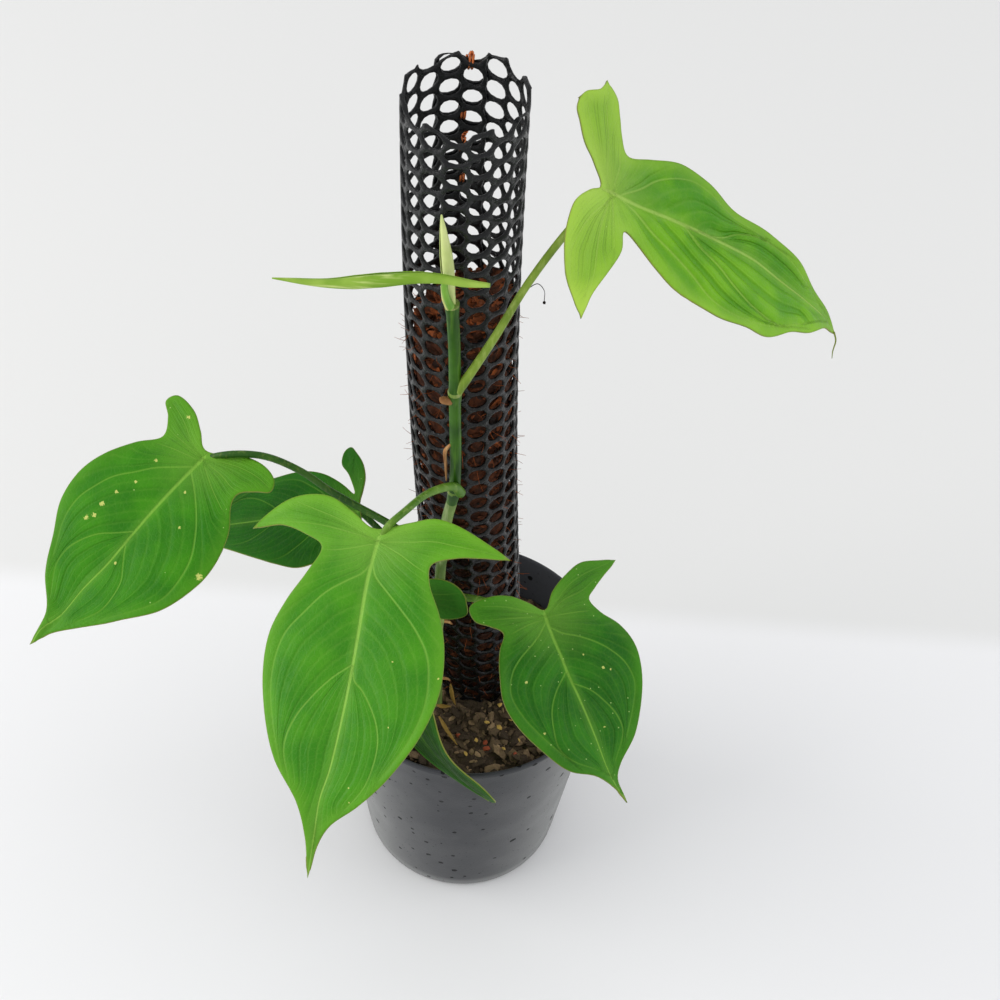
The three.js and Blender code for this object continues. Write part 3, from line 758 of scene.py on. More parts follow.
def flake_jobs(rng):
    jobs = []
    for count in range(FLAKE_COUNT):
        angle = rng.uniform(0, 2 * math.pi)
        if count < TOP_FLAKES:
            spot = on_pole(angle, COIR_TOP, 20.5 * math.sqrt(rng.random()))
            spot.z = coir_top(spot.x) + rng.uniform(-1, 1.6)
            turn = random_turn(rng, 0.8)
        else:
            z = rng.uniform(128, COIR_TOP)
            spot = on_pole(angle, z, rng.uniform(20.4, 22.0))
            spot.z += tilt_rise(spot.x, z)
            lie = Matrix.Rotation(angle, 3, "Z") @ Matrix.Rotation(math.pi / 2, 3, "Y")
            turn = lie @ random_turn(rng, 0.5)
        long = rng.uniform(2.5, 7.5)
        size = (long, long * rng.uniform(0.25, 0.6), rng.uniform(0.5, 1.3))
        # Flakes low on the pole get a darker tone, which lightens over the span above.
        height_tone = 0.3 + 0.7 * min(1, max(0, (spot.z - DARKER_BELOW) / LIGHTENING_SPAN))
        tone = height_tone * min(1, max(0, rng.gauss(0.42, 0.26)))
        jobs.append(partial(add_chip, spot, size, turn, tone, rng, 0))
    return jobs


def fibre_jobs(rng):
    jobs = []
    for _ in range(FIBRE_COUNT):
        angle = rng.uniform(0, 2 * math.pi)
        spot = on_pole(angle, rng.uniform(150, COIR_TOP + 10), 21)
        spot.z = min(spot.z, coir_top(spot.x))
        out = Vector((math.cos(angle), math.sin(angle), rng.uniform(-0.9, 0.9))).normalized()
        side = out.cross(Vector((rng.uniform(-1, 1), rng.uniform(-1, 1), rng.uniform(-1, 1)))).normalized()
        reach, curl = rng.uniform(3.5, 9.5), rng.uniform(-3.5, 3.5)
        strand = [spot + out * reach * t + side * curl * t * t for t in (0, 0.25, 0.5, 0.75, 1)]
        jobs.append(partial(add_fibre, strand, rng.uniform(0.6, 1)))
    return jobs


def make_coir(material):
    bm = bmesh.new()
    add_core(bm, bm.verts.layers.float_vector.new("tone"))
    sweep_curve(bm, HANGING_FIBRE, 6, [0.18], 4)
    rng = random.Random(23)
    jobs = flake_jobs(rng) + fibre_jobs(rng)
    jobs.append(partial(add_chip, KNOT, (1.5, 1.4, 1.8), Matrix.Identity(3), 0.05, rng, 0))
    add_in_batches(bm, jobs)
    return finish_piece(bm, "coir_plug", [material], "coir_fill", smooth=False)


make_coir(crumb_finish("coir_husk", (24, 13, 8), (152, 80, 38), 600, 0.0005, 0.88))

# %% [markdown]
# Bare copper wire laces the seam of the net at the back. Each tie is a short length of wire, wound twice round
# the two overlapping strands, with its ends twisted together. The first one stands at the net's ragged top.

# %% Lace the seam with copper
TIE_HEIGHTS = [537.8, 521.0, 504.2, 420.2, 319.4, 218.6]
FIRST_TIE = Vector((-12.4, 18.2, 562.6))
FIRST_TAIL, TAIL = 1.6, 5
WIRE = 0.55
SEAM_OUT = Vector((math.cos(NET["seam"]), math.sin(NET["seam"]), 0))
SEAM_SIDE = Vector((-SEAM_OUT.y, SEAM_OUT.x, 0))


def helix(start, end, first, second, turns, phase, count):
    points = []
    for k in range(count + 1):
        turn = phase + 2 * math.pi * turns * k / count
        points.append(start.lerp(end, k / count) + first * math.cos(turn) + second * math.sin(turn))
    return points


def make_tie(number, centre, tail_length, material):
    bm = bmesh.new()
    half = SEAM_SIDE * 1.3
    loop = helix(centre - half, centre + half, SEAM_OUT * 2.4, Vector((0, 0, 2.6)), 2, 0.6, 40)
    sweep_tube(bm, loop, [WIRE] * len(loop), 8)
    rng = random.Random(number)
    aside = SEAM_OUT.x * 0.3 + SEAM_SIDE.x * rng.uniform(-0.6, 0.6)
    lean = Vector((aside, SEAM_OUT.y * 0.3, rng.uniform(-0.2, 0.9))).normalized()
    foot = loop[-1] - SEAM_SIDE * 1.2
    first = lean.orthogonal().normalized() * 0.5
    for phase in (0, math.pi):
        tail = helix(foot, foot + lean * tail_length, first, lean.cross(first), 2.2, phase, 18)
        sweep_tube(bm, tail, [WIRE * 0.85] * len(tail), 7)
    return finish_piece(bm, f"copper_lace_{number}", [material], f"copper_tie_{number}")


def copper_finish():
    material, tree, sockets = new_material("bare_copper", {"Metallic": 1.0})
    place = object_place(tree)
    mix(cloud(place, 260), (206, 122, 74), (150, 78, 42)).to(sockets["Base Color"])
    cloud(place, 700).fade(0.3, 0.7, 0.25, 0.45).to(sockets["Roughness"])
    return material


copper = copper_finish()
make_tie(1, FIRST_TIE, FIRST_TAIL, copper)
for number, height in enumerate(TIE_HEIGHTS, start=2):
    make_tie(number, on_pole(NET["seam"], height, NET["middle"] + 0.4), TAIL, copper)

# %% [markdown]
# Stem, stalks, shoot and rolled leaf are smooth living skin with faint lengthwise streaks. One group mixes the
# two greens of each with a stretched noise, so that the streaks run up the plant.

# %% Living skin
def streak_group():
    inputs = {**dict.fromkeys(("Deep", "Fresh", "Streak"), "Color"), "Amount": "Float", "Stretch": "Vector"}
    tree, given, result = new_group("streaks", inputs, {"Colour": "Color", "Height": "Float"})
    place = object_place(tree)
    long = add_node(tree, "ShaderNodeMapping", {}, {"Vector": place, "Scale": given["Stretch"]})
    base = mix(cloud(place, 55).fade(0.3, 0.7), given["Deep"], given["Fresh"])
    lines = cloud(long, 520, 4.0).fade(0.5, 0.72)
    mix(lines * given["Amount"], base, given["Streak"]).to(result["Colour"])
    lines.to(result["Height"])
    return tree


STREAKS = streak_group()
UP_THE_PLANT, ALONG_X = (1, 1, 0.07), (0.07, 1, 1)


def skin_finish(name, deep, fresh, streak, amount, rough=0.42, stretch=UP_THE_PLANT):
    material, tree, sockets = new_material(name, {"Roughness": rough, "Specular IOR Level": 0.18})
    values = {"Deep": colour(*deep), "Fresh": colour(*fresh), "Streak": colour(*streak)}
    made = place_group(tree, STREAKS, {**values, "Amount": amount, "Stretch": stretch})
    made["Colour"].to(sockets["Base Color"])
    add_relief(sockets, made["Height"], 0.00012, 0.5)
    return material


# %% [markdown]
# The stem climbs the front of the pole. At each leaf it has a node: a slight swelling with a narrow ring where an
# old sheath was shed. Its lower half is older and paler. A brown root stub and a papery bit of sheath stand near
# the top, and short root stubs grow low down.

# %% Grow the stem
STEM_PLACES = [
    (-13, -25.4, 40), (-15.5, -27.3, 160), (-16, -28.2, 215), (-16.2, -29.3, 270), (-15.4, -30.2, 303),
    (-13.4, -31.5, 335), (-10.4, -32.4, 360), (-11.5, -33.4, 423), (-12.4, -34, 456), (-14, -34.6, 484),
]
NODE_HEIGHTS = [213, 246, 268, 303, 357, 427, 482]
STEM_RADIUS = 2.6
RING_RISE = 2.2
OLD_BELOW = 350
OLD, RING, DRY = 1, 2, 3
ROOT_STUBS = [(300, -1), (268, 1), (245, 1), (228, -1), (206, -1), (190, 1)]
TOP_STUB = [(-13.5, -34.5, 424), (-16.5, -36.4, 426.5), (-17.6, -36.8, 428)]
PAPERY_SHEATH = [(-12.6, -33.9, 394), (-14.9, -34.4, 390), (-14.6, -34.2, 380), (-14.1, -33.4, 367)]


def stem_radius(z):
    radius = STEM_RADIUS
    for node_height in NODE_HEIGHTS:
        radius += 0.45 * math.exp(-(((z - node_height) / 3.5) ** 2))
        radius += 0.22 * math.exp(-(((z - node_height - RING_RISE) / 0.7) ** 2))
    return radius


def make_stem(materials):
    bm = bmesh.new()
    path = even_points(curve_through(STEM_PLACES, 12), 1.0)
    verts = sweep_tube(bm, path, [stem_radius(p[2]) for p in path], 20)
    for face in {face for vert in verts for face in vert.link_faces}:
        z = face.calc_center_median().z
        if z < OLD_BELOW:
            face.material_index = OLD
        if any(abs(z - node_height - RING_RISE) < 0.8 for node_height in NODE_HEIGHTS):
            face.material_index = RING
    sweep_curve(bm, TOP_STUB, 4, [2.0, 1.7, 0.6], 10, DRY)
    sweep_curve(bm, PAPERY_SHEATH, 5, [0.6, 0.95, 0.8, 0.3], 6, DRY)
    for z, side in ROOT_STUBS:
        foot = Vector((-16 + 2 * side, -28.6, z))
        root = [foot, foot + Vector((3 * side, 1.6, -3)), foot + Vector((4.6 * side, 4.4, -9))]
        sweep_curve(bm, root, 5, [1.0, 0.8, 0.45], 7, DRY)
    return finish_piece(bm, "climbing_stem", materials, "stem")


make_stem([
    skin_finish("fresh_stem", (28, 66, 6), (56, 100, 14), (98, 140, 46), 0.4),
    skin_finish("old_stem", (88, 114, 54), (122, 148, 76), (172, 184, 132), 0.5, 0.5),
    skin_finish("ring_scar", (96, 124, 50), (138, 156, 78), (190, 186, 130), 0.5, 0.5),
    skin_finish("dry_root", (116, 74, 42), (186, 138, 86), (214, 172, 120), 0.6, 0.7),
])

# %% [markdown]
# A leaf blade here has a pale broad midrib, strong side veins that arch along the margin, more veins into the
# two back lobes, many fine lines between them, and a thin tan margin. Each vertex keeps its distance to every
# vein, so the finish draws crisp veins at any size, and the same distances press real grooves into the mesh.

# %% The pattern of a leaf
LEAF_ATTRIBUTES = ("flat", "blade", "ribs", "lobes")
LEAF_COLOURS = ("Deep", "Fresh", "Pale", "Vein", "Margin")
LEAF_AMOUNTS = ("Vein strength", "Dots", "Pale edge", "Pleat shade and relief", "Lean")


def stripe(distance, inner, outer):
    return abs(distance).fade(inner, outer, 1.0, 0.0)


def leaf_greens(given, flat, edge, middle, pleat_shade_and_relief, from_heart):
    down, across = axes(flat)[:2]
    leaning = across.fade(-11.0, 9.0, 1.0, -1.0) * given["Lean"]
    patches = cloud(flat, 0.05).fade(0.25, 0.75)
    base = mix(patches.math("ADD", leaning, clamp=True), given["Deep"], given["Fresh"])
    # Painted shade: the pleat valleys are darkened towards Deep.
    base = mix(pleat_shade_and_relief, base, given["Deep"])
    on_lobes = down.fade(-10.0, 14.0, 1.0, 0.0) * (given["Lean"] * 0.4 + 0.32)
    tips = across.fade(-50.0, -26.0, 2.2, 0.0) * given["Lean"]
    pale = edge.fade(0.0, 8.0, 0.8, 0.0) * given["Pale edge"] + largest(tips, on_lobes)
    base = mix(smallest(pale, 1.0), base, given["Pale"])
    glow = largest(from_heart.fade(3.0, 30.0, 0.4, 0.0), stripe(middle, 0.0, 4.5) * 0.22)
    return mix(glow * given["Vein strength"], base, given["Vein"])


def leaf_veins(tree, flat, along, edge, middle):
    first, second = axes(attribute(tree, "ribs"))[1:]
    lobes = axes(attribute(tree, "lobes"))
    midrib = (abs(middle) / along.fade(0.0, 1.0, 1.35, 0.45)).fade(0.25, 1.0, 0.8, 0.0)
    sides = [stripe(first, 0.1, 0.7), stripe(second, 0.1, 0.62)]
    sides += [stripe(lobe, 0.0, outer) for lobe, outer in zip(lobes, (0.6, 0.6, 0.55))]
    return largest(midrib, largest(*sides) * edge.fade(0.5, 9.0, 0.12, 0.46))


def fine_lines(flat, edge, phase):
    lines = abs((phase * 6.0).math("FRACT") - 0.5).fade(0.30, 0.48)
    meshwork = cells(flat, 0.42, "DISTANCE_TO_EDGE").fade(0.02, 0.12, 1.0, 0.0)
    return (lines * 0.08 + meshwork * 0.05) * edge.fade(0.0, 3.0)


def leaf_group():
    inputs = {**dict.fromkeys(LEAF_COLOURS, "Color"), **dict.fromkeys(LEAF_AMOUNTS, "Float")}
    results = {"Colour": "Color", "Height": "Float", "Roughness": "Float"}
    tree, given, result = new_group("leaf_pattern", inputs, results)
    flat = attribute(tree, "flat")
    along, edge, phase = axes(attribute(tree, "blade"))
    middle = axes(attribute(tree, "ribs"))[0]
    from_heart = add_node(tree, "ShaderNodeVectorMath", {"operation": "LENGTH"}, {0: flat}, "Value")
    # Painted shade: the valleys of the pleats between veins are darkened in the colour, and the same mask lowers
    # the bump height.
    pleat_shade_and_relief = (phase * (4 * math.pi)).math("SINE").fade(-0.2, -1.0) * given["Pleat shade and relief"]
    pleat_shade_and_relief = pleat_shade_and_relief * abs(middle).fade(1.2, 4.0) * edge.fade(1.0, 7.0) * from_heart.fade(5.0, 24.0, 0.35, 1.0)
    base = leaf_greens(given, flat, edge, middle, pleat_shade_and_relief, from_heart)
    strong = leaf_veins(tree, flat, along, edge, middle)
    faint = fine_lines(flat, edge, phase)
    share = largest(strong, faint).math("MULTIPLY", given["Vein strength"], clamp=True)
    painted = mix(share, base, given["Vein"])
    dots = cells(flat, 0.29)
    dots = dots.below(0.085) * chance(dots).below(given["Dots"])
    painted = mix(dots * 0.7, painted, (184, 214, 128))
    mix(edge.fade(0.05, 0.45, 0.5, 0.0), painted, given["Margin"]).to(result["Colour"])
    grooves = strong * 0.5 + faint * 2.0 + pleat_shade_and_relief * 1.4
    (cloud(flat, 1.1) * 0.25 - grooves).to(result["Height"])
    cloud(flat, 0.2).fade(0.3, 0.7, 0.4, 0.56).to(result["Roughness"])
    return tree


LEAF_PATTERN = leaf_group()


# Pale spots: real scars and spots, and on the front leaf the painted highlights of water drops.
def add_scars_and_drop_highlights(painted, spots_and_highlights):
    flat = attribute(painted.tree, "flat")
    away = []
    for a, b, size in spots_and_highlights:
        inputs = {0: flat, 1: (a, b, 0)}
        reach = add_node(flat.tree, "ShaderNodeVectorMath", {"operation": "DISTANCE"}, inputs, "Value")
        away.append(reach / size)
    ragged = smallest(*away) + cloud(flat, 1.3) * 2.4
    return mix(ragged.fade(1.75, 2.05, 0.8, 0.0), painted, (212, 214, 118))


# pleats sets the painted shade in the pleat valleys of the finish.
def leaf_finish(name, greens, strength, dots, pale_edge, spots_and_highlights=(), pleats=0.3, lean=0.0, shine=0.14):
    material, tree, sockets = new_material(name, {"Specular IOR Level": shine})
    values = dict(zip(LEAF_COLOURS, [colour(*tone) for tone in greens]))
    values.update(zip(LEAF_AMOUNTS, (strength, dots, pale_edge, pleats, lean)))
    made = place_group(tree, LEAF_PATTERN, values)
    painted = add_scars_and_drop_highlights(made["Colour"], spots_and_highlights) if spots_and_highlights else made["Colour"]
    painted.to(sockets["Base Color"])
    made["Roughness"].to(sockets["Roughness"])
    add_relief(sockets, made["Height"], 0.0007, 0.8)
    return material


# %% [markdown]
# Each leaf is described flat, as if pressed: along runs down the midrib from the stalk to the tip, across to its
# side. The outline, the veins and the stalk are given as points. The blade is then lifted, arched, curled and
# twisted into its place on the plant with the same formula that the solid model uses.

# %% The six leaves, pressed flat
def front_like(length, left, right):
    def fit(points):
        return [(a * length / 145, b * (right / 42 if b > 0 else left / 37)) for a, b in points]

    return {name: (fit(pair[0]), fit(pair[1])) for name, pair in FRONT_VEINS.items()}


FRONT_VEINS = {
    "lobe_1": (
        [(1, -1), (-2, -9), (-5, -19), (-7, -29), (-9, -40)],
        [(0, 2), (-5, 9), (-9, 18), (-11, 26), (-12, 36)],
    ),
    "lobe_2": (
        [(1, -2), (0, -10), (-1, -26), (0, -39), (3, -54)], [(1, 3), (-1, 15), (-3, 24), (-3, 34), (-3, 54)],
    ),
    "lobe_3": ([(3, -2), (7, -12), (9, -20), (9, -27)], [(2, 2), (5, 11), (9, 20), (12, 28)]),
    "first": (
        [
            (10, 0), (16, -3), (20, -8), (27, -16), (37, -23), (47, -29), (58, -31), (72, -30), (88, -25),
            (104, -18),
        ],
        [(10, 0), (16, 3), (21, 9), (28, 18), (35, 26), (44, 33), (53, 36), (66, 37), (82, 33), (98, 25)],
    ),
    "second": (
        [(54, 3), (62, -5), (72, -12), (82, -17), (94, -19), (108, -14)],
        [(56, 3), (61, 5), (64, 9), (71, 15), (78, 19), (87, 21), (102, 19), (114, 12)],
    ),
}
LEAVES = {
    "front": {
        "base": (-40, -82, 386), "tip": (-59, -203, 308), "face": (-0.2, -0.5, 0.84), "arch": 9,
        "points": [(5, -57), (-2, 56)],
        "outline": [
            (-4, -3), (-9, -13), (-14, -25), (-13, -36), (-8, -46), (5, -57), (2, -44), (4, -32), (8, -23),
            (20, -26), (34, -32), (48, -36), (66, -35), (84, -30), (100, -22), (116, -9), (130, -3), (145, 0),
            (132, 2), (123, 6), (112, 17), (98, 28), (78, 38), (59, 42), (42, 40), (28, 35), (14, 27), (7, 26),
            (2, 36), (0, 46), (-2, 56), (-7, 46), (-12, 32), (-13, 22), (-9, 11),
        ],
        "stalk": [(-7.5, -33.5, 359), (-10.5, -38, 369), (-21, -52, 381), (-30, -69, 389), (-36, -77, 389)],
        "midrib": [(0, 0), (17, 0), (42, 2), (62, 3), (81, 3), (100, 2), (112, 0), (125, 0), (145, 0)],
        "veins": FRONT_VEINS,
    },
    "left": {
        "base": (-122, -40, 380), "tip": (-189, -116, 338), "face": (-0.19, -0.34, 0.92), "arch": 6,
        "outline": [
            (-3, -2), (-8, -10), (-13, -20), (-13, -32), (-8, -34), (-3, -27), (5, -21), (15, -28), (28, -34),
            (42, -37), (56, -34), (70, -25), (84, -15), (96, -3), (110, 0), (102, 4), (92, 13), (78, 26),
            (62, 38), (46, 42), (32, 41), (18, 36), (7, 27), (2, 26), (-4, 31), (-8, 35), (-13, 32), (-15, 24),
            (-12, 12),
        ],
        "stalk": [
            (-16, -30, 303), (-39.7, -35, 333), (-65.5, -37, 357), (-80, -38, 373), (-95, -38.5, 382),
            (-110, -39.5, 383),
        ],
        "midrib": [(0, 0), (17, 1), (33, 2), (46, 3), (63, 4), (78, 3), (92, 3), (103, 0), (110, 0)],
        "veins": {
            "lobe_1": (
                [(0, -2), (-2, -10), (-6, -19), (-9, -30)], [(-1, 3), (-4, 9), (-7, 16), (-9, 25), (-9, 33)],
            ),
            "lobe_2": ([(1, -3), (1, -12), (1, -20), (-1, -28)], [(1, 4), (1, 14), (2, 22), (1, 26)]),
            "lobe_3": ([(3, -2), (6, -12), (9, -20)], [(3, 4), (8, 15), (12, 26)]),
            "first": (
                [(6, 0), (11, -5), (18, -12), (25, -17), (33, -23), (41, -26), (50, -28), (62, -26), (76, -18)],
                [(8, 0), (14, 10), (21, 19), (27, 25), (37, 32), (48, 35), (58, 35), (70, 29), (82, 20)],
            ),
            "second": (
                [(44, 3), (51, -4), (56, -9), (63, -13), (70, -15), (78, -14), (90, -6)],
                [(50, 3), (58, 10), (64, 15), (71, 17), (79, 17), (90, 11)],
            ),
        },
    },
    "right": {
        "base": (35, -70, 319), "tip": (77, -141.5, 279.5), "face": (0.37, -0.28, 0.89), "arch": 6,
        "points": [(-12, 48)],
        "outline": [
            (-2, 1), (-8, -5), (-14, -12), (-17, -22), (-16, -32), (-9, -33), (-4, -28), (1, -24), (8, -30),
            (18, -36), (30, -40), (44, -38), (58, -31), (70, -23), (77, -11), (85, -4), (92, 0), (82, 0),
            (76, 4), (66, 16), (52, 25), (38, 32), (28, 34), (17, 32), (8, 26), (1, 24), (-3, 30), (-7, 38),
            (-12, 48), (-15, 40), (-17, 31), (-14, 20), (-9, 10),
        ],
        "stalk": [(-15.8, -29, 268), (-8.1, -35, 277), (-0.5, -42, 287), (14, -55, 303), (29, -66, 316)],
        "midrib": [
            (0, 0), (11, -2), (21, -3), (30, -4), (40, -4), (52, -4), (62, -4), (73, -4), (84, -3), (92, 0),
        ],
        "veins": {
            "lobe_1": (
                [(0, -2), (-5, -9), (-10, -17), (-14, -27)],
                [(-1, 3), (-5, 11), (-9, 19), (-11, 28), (-12, 44)],
            ),
            "lobe_2": ([(0, -3), (-3, -14), (-6, -24), (-8, -31)], [(0, 4), (-3, 12), (-4, 23), (-7, 33)]),
            "lobe_3": ([(2, -3), (2, -12), (3, -21)], [(2, 2), (4, 12), (6, 20)]),
            "first": (
                [(4, -2), (8, -8), (11, -14), (15, -23), (20, -30), (28, -35), (40, -34), (52, -29), (64, -22)],
                [(6, -1), (11, 3), (15, 9), (21, 16), (27, 21), (35, 25), (44, 25), (55, 19), (66, 11)],
            ),
            "second": (
                [(28, -4), (35, -14), (42, -20), (50, -23), (58, -24), (66, -20), (74, -10)],
                [(34, -4), (40, 3), (47, 7), (55, 10), (63, 10), (74, 2)],
            ),
        },
    },
    "top": {
        "base": (44, -20, 537), "tip": (149, -1.5, 448), "face": (0.6, -0.3, 0.7), "arch": 8,
        "wave": 1.3, "waves": 7, "quilt": 1.5, "pleat": 0.7,
        "points": [(-8, 44), (-19, 32), (0, -52)],
        "thread": [(148, -2, 448.6), (149.6, -2.4, 444), (149.4, -3.2, 438), (149.8, -3.6, 434)],
        "outline": [
            (-8, -3), (-14, -10), (-16, -18), (-16, -28), (-12, -38), (-6, -46), (0, -52), (1, -44), (4, -34),
            (7, -24), (8, -15), (24, -23), (39, -29), (56, -31), (74, -28), (90, -25), (103, -17), (115, -12),
            (
                127, -4), (138, 0), (132, 5), (118, 9), (100, 14), (80, 17), (60, 18), (42, 22), (28,
                23), (14, 19,
            ),
            (5, 17), (1, 24), (-1, 32), (-3, 40), (-8, 44), (-12, 39), (-18, 35), (-20, 28), (-18, 23),
            (-14, 15), (-8, 9), (-3, 1),
        ],
        "stalk": [(-11.6, -33.2, 427), (-6.5, -34.6, 440), (4, -32.5, 464), (16, -27, 491), (30, -23.5, 518)],
        "midrib": [(0, 0), (13, -1), (27, 0), (41, 1), (57, 2), (75, 3), (93, 2), (111, 2), (128, 2), (138, 0)],
        "veins": {
            "lobe_1": (
                [(0, -5), (-6, -13), (-10, -22), (-12, -31), (-8, -42)],
                [(-1, 2), (-7, 11), (-12, 20), (-16, 31)],
            ),
            "lobe_2": (
                [(0, -6), (-2, -16), (-2, -27), (-1, -35), (0, -48)],
                [(0, 2), (-3, 11), (-5, 20), (-7, 30), (-8, 41)],
            ),
            "lobe_3": ([(2, -4), (3, -14), (4, -24)], [(2, 3), (2, 12), (1, 21)]),
            "first": (
                [
                    (5, -1), (12, -4), (21, -10), (30, -14), (41, -19), (53, -25), (66, -26), (82, -23),
                    (98, -17),
                ],
                [(5, 0), (13, 6), (19, 12), (28, 17), (36, 19), (46, 18), (60, 15), (78, 14)],
            ),
            "second": (
                [(36, 1), (44, -5), (55, -9), (65, -14), (78, -18), (94, -18), (108, -11)],
                [(50, 2), (56, 4), (62, 8), (72, 12), (82, 13), (94, 12), (108, 9)],
            ),
        },
    },
    "back_left": {
        "base": (-57, -20, 321.5), "tip": (-146, 2, 264), "face": (-0.3, -0.15, 0.93), "arch": 6,
        "outline": [
            (-1, -3), (-2, -10), (-2, -17), (1, -25), (6, -31), (11, -35), (14, -33), (14, -26), (8, -19),
            (3, -9), (10, -14), (20, -19), (33, -22), (50, -21), (66, -20), (80, -15), (94, -9), (108, 0),
            (91, 9), (74, 16), (54, 23), (37, 28), (25, 30), (14, 28), (7, 26), (1, 31), (-4, 40), (-8, 44),
            (-11, 36), (-10, 24), (-6, 12),
        ],
        "stalk": [(-16, -28.6, 246), (-24, -29, 268), (-36, -27, 299), (-50, -22.5, 317)],
        "midrib": [(0, 0), (30, 1), (60, 2), (85, 1), (108, 0)],
        "veins": front_like(108, 22, 30),
    },
    "lower": {
        "base": (-33, -38, 277), "tip": (16, -85, 165), "face": (-0.39, -0.9, 0.22), "arch": 9,
        "sweep": -21, "twist": 24,
        "outline": [
            (-3, 0), (-8, -8), (-9, -20), (-3, -32), (5, -37), (8, -27), (13, -21), (26, -26), (42, -30),
            (60, -29), (78, -27), (96, -20), (110, -12), (120, -6), (131, 0), (127, 12), (120, 23), (109, 29),
            (95, 28), (78, 25), (60, 24), (42, 20), (26, 18), (12, 16), (8, 21), (9, 28), (8, 40), (1, 37),
            (-5, 34), (-9, 28), (-10, 20), (-7, 9),
        ],
        "stalk": [(-16, -27.8, 213), (-22, -33, 228), (-28, -37, 248), (-32, -37, 268)],
        "midrib": [(0, 0), (40, 0), (80, 1), (110, 1), (131, 0)],
        "veins": front_like(131, 30, 29),
    },
}

# %% [markdown]
# A signed distance says how far a point is from a vein and on which side of it. It is positive on the tip's side,
# so the blade can be cut into strips between veins, and the fine lines are spread evenly across each strip.

# %% Distances to veins
VEIN_ORDER = ("lobe_1", "lobe_2", "lobe_3", "first", "second")


def nearest_on(points, line):
    starts, steps = line[:-1], np.diff(line, axis=0)
    rel = points[:, None, :] - starts[None]
    share = np.clip((rel * steps).sum(2) / (steps ** 2).sum(1), 0, 1)
    gap = rel - share[..., None] * steps
    distance = np.linalg.norm(gap, axis=2)
    best = distance.argmin(1)
    rows = np.arange(len(points))
    cross = steps[best, 0] * rel[rows, best, 1] - steps[best, 1] * rel[rows, best, 0]
    return distance[rows, best], np.where(cross >= 0, 1.0, -1.0)


def vein_fields(points, leaf, edge):
    middle_line = curve_through(leaf["midrib"], 6)
    distance, turned = nearest_on(points, middle_line)
    fields = {"middle": distance * turned}
    right = fields["middle"] > 0
    for name in VEIN_ORDER:
        value = np.zeros(len(points))
        for side, chosen in ((0, ~right), (1, right)):
            line = curve_through(leaf["veins"][name][side], 6)
            away, sign = nearest_on(points[chosen], line)
            value[chosen] = away * sign * (1 if side == 0 else -1)
        fields[name] = value
    fields["edge"] = nearest_on(points, np.vstack([edge, edge[:1]]))[0]
    ordered = np.stack([fields[name] for name in VEIN_ORDER] + [-np.abs(fields["middle"]) - 0.01])
    passed_count = (ordered > 0).sum(0)
    rows = np.arange(len(points))
    passed = np.abs(ordered[np.maximum(passed_count - 1, 0), rows])
    ahead = np.abs(ordered[np.minimum(passed_count, len(VEIN_ORDER)), rows])
    strip = passed_count - 1 + passed / np.maximum(passed + ahead, 1e-3)
    fields["phase"] = np.where(passed_count == 0, ordered[0] / 9, strip)
    return fields


# %% [markdown]
# The outline is filled with an even net of small triangles, as a blade has no natural rows. It gets its grooves
# along the veins and its soft quilting between them. Then it gets a thickness: a copy is pushed down to make the
# underside, where the ribs stand out, and the two margins are bridged.

# %% Grow a leaf
EDGE_GAP = 1.25
FILL_GAP = 1.05
TIP_REACH = 1.5
VALLEY, DROOP = 0.22, 0.0052
TWIST_START, TWIST_SPAN = 0.15, 0.6
QUILT, EDGE_WAVE, EDGE_WAVES, WAVE_WIDTH = 0.45, 1.1, 5, 5
BLADE_THICKNESS = 0.7
UNDERSIDE, MARGIN, STALK = 1, 2, 3
STALK_GAP, STALK_SIDES = 1.6, 14
MIDRIB_DROPS = ((0.0, 2.5), (0.05, 2.7), (0.2, 2.3), (0.38, 1.7), (0.56, 1.2))
STALK_WIDTHS = [2.5, 2.3, 1.95, 1.65, 1.6, 1.1, 0.35]


def blade_frame(leaf):
    base, tip = Vector(leaf["base"]), Vector(leaf["tip"])
    along = (tip - base).normalized()
    face = Vector(leaf["face"])
    up = (face - along * face.dot(along)).normalized()
    return base, along, up.cross(along), up, (tip - base).length


def place_on_blade(leaf, frame_axes, a, b, rise):
    base, along, across, up, length = frame_axes
    share = a / length
    past = min(max(share, 0), 1)
    lift = 4 * leaf["arch"] * share * (1 - share)
    hollow = VALLEY * (math.sqrt(b * b + 4) - 2) - DROOP * b * b + rise
    turn = math.radians(leaf.get("twist", 0)) * ease((past - TWIST_START) / TWIST_SPAN)
    side = leaf.get("sweep", 0) * 4 * past * (1 - past)
    flat = b * math.cos(turn) - hollow * math.sin(turn) + side
    high = b * math.sin(turn) + hollow * math.cos(turn) + lift
    return base + along * a + across * flat + up * high


def groove(distance, width):
    return np.exp(-((distance / width) ** 2))


def blade_relief(fields, leaf, share_along):
    taper = 1.5 - share_along
    relief = -0.5 * groove(fields["middle"], 1.5) * np.clip(taper, 0.4, 1)
    relief -= 0.28 * groove(fields["first"], 1.1) + 0.25 * groove(fields["second"], 1.1)
    nearest = np.abs(fields["middle"])
    for name in VEIN_ORDER:
        nearest = np.minimum(nearest, np.abs(fields[name]))
        if name.startswith("lobe"):
            relief -= 0.15 * groove(fields[name], 0.9)
    quilt = (1 - np.exp(-((nearest / 6) ** 2))) * leaf.get("quilt", QUILT)
    relief += quilt * np.clip(fields["edge"] / 12, 0, 1)
    pleats = np.sin(4 * math.pi * fields["phase"]) * leaf.get("pleat", 0.0)
    pleats *= np.clip((np.abs(fields["middle"]) - 1) / 3, 0, 1)
    relief += pleats * np.clip(share_along * 8, 0, 1) * np.clip(fields["edge"] / 7, 0, 1)
    return relief * np.clip(fields["edge"] / 3, 0, 1)


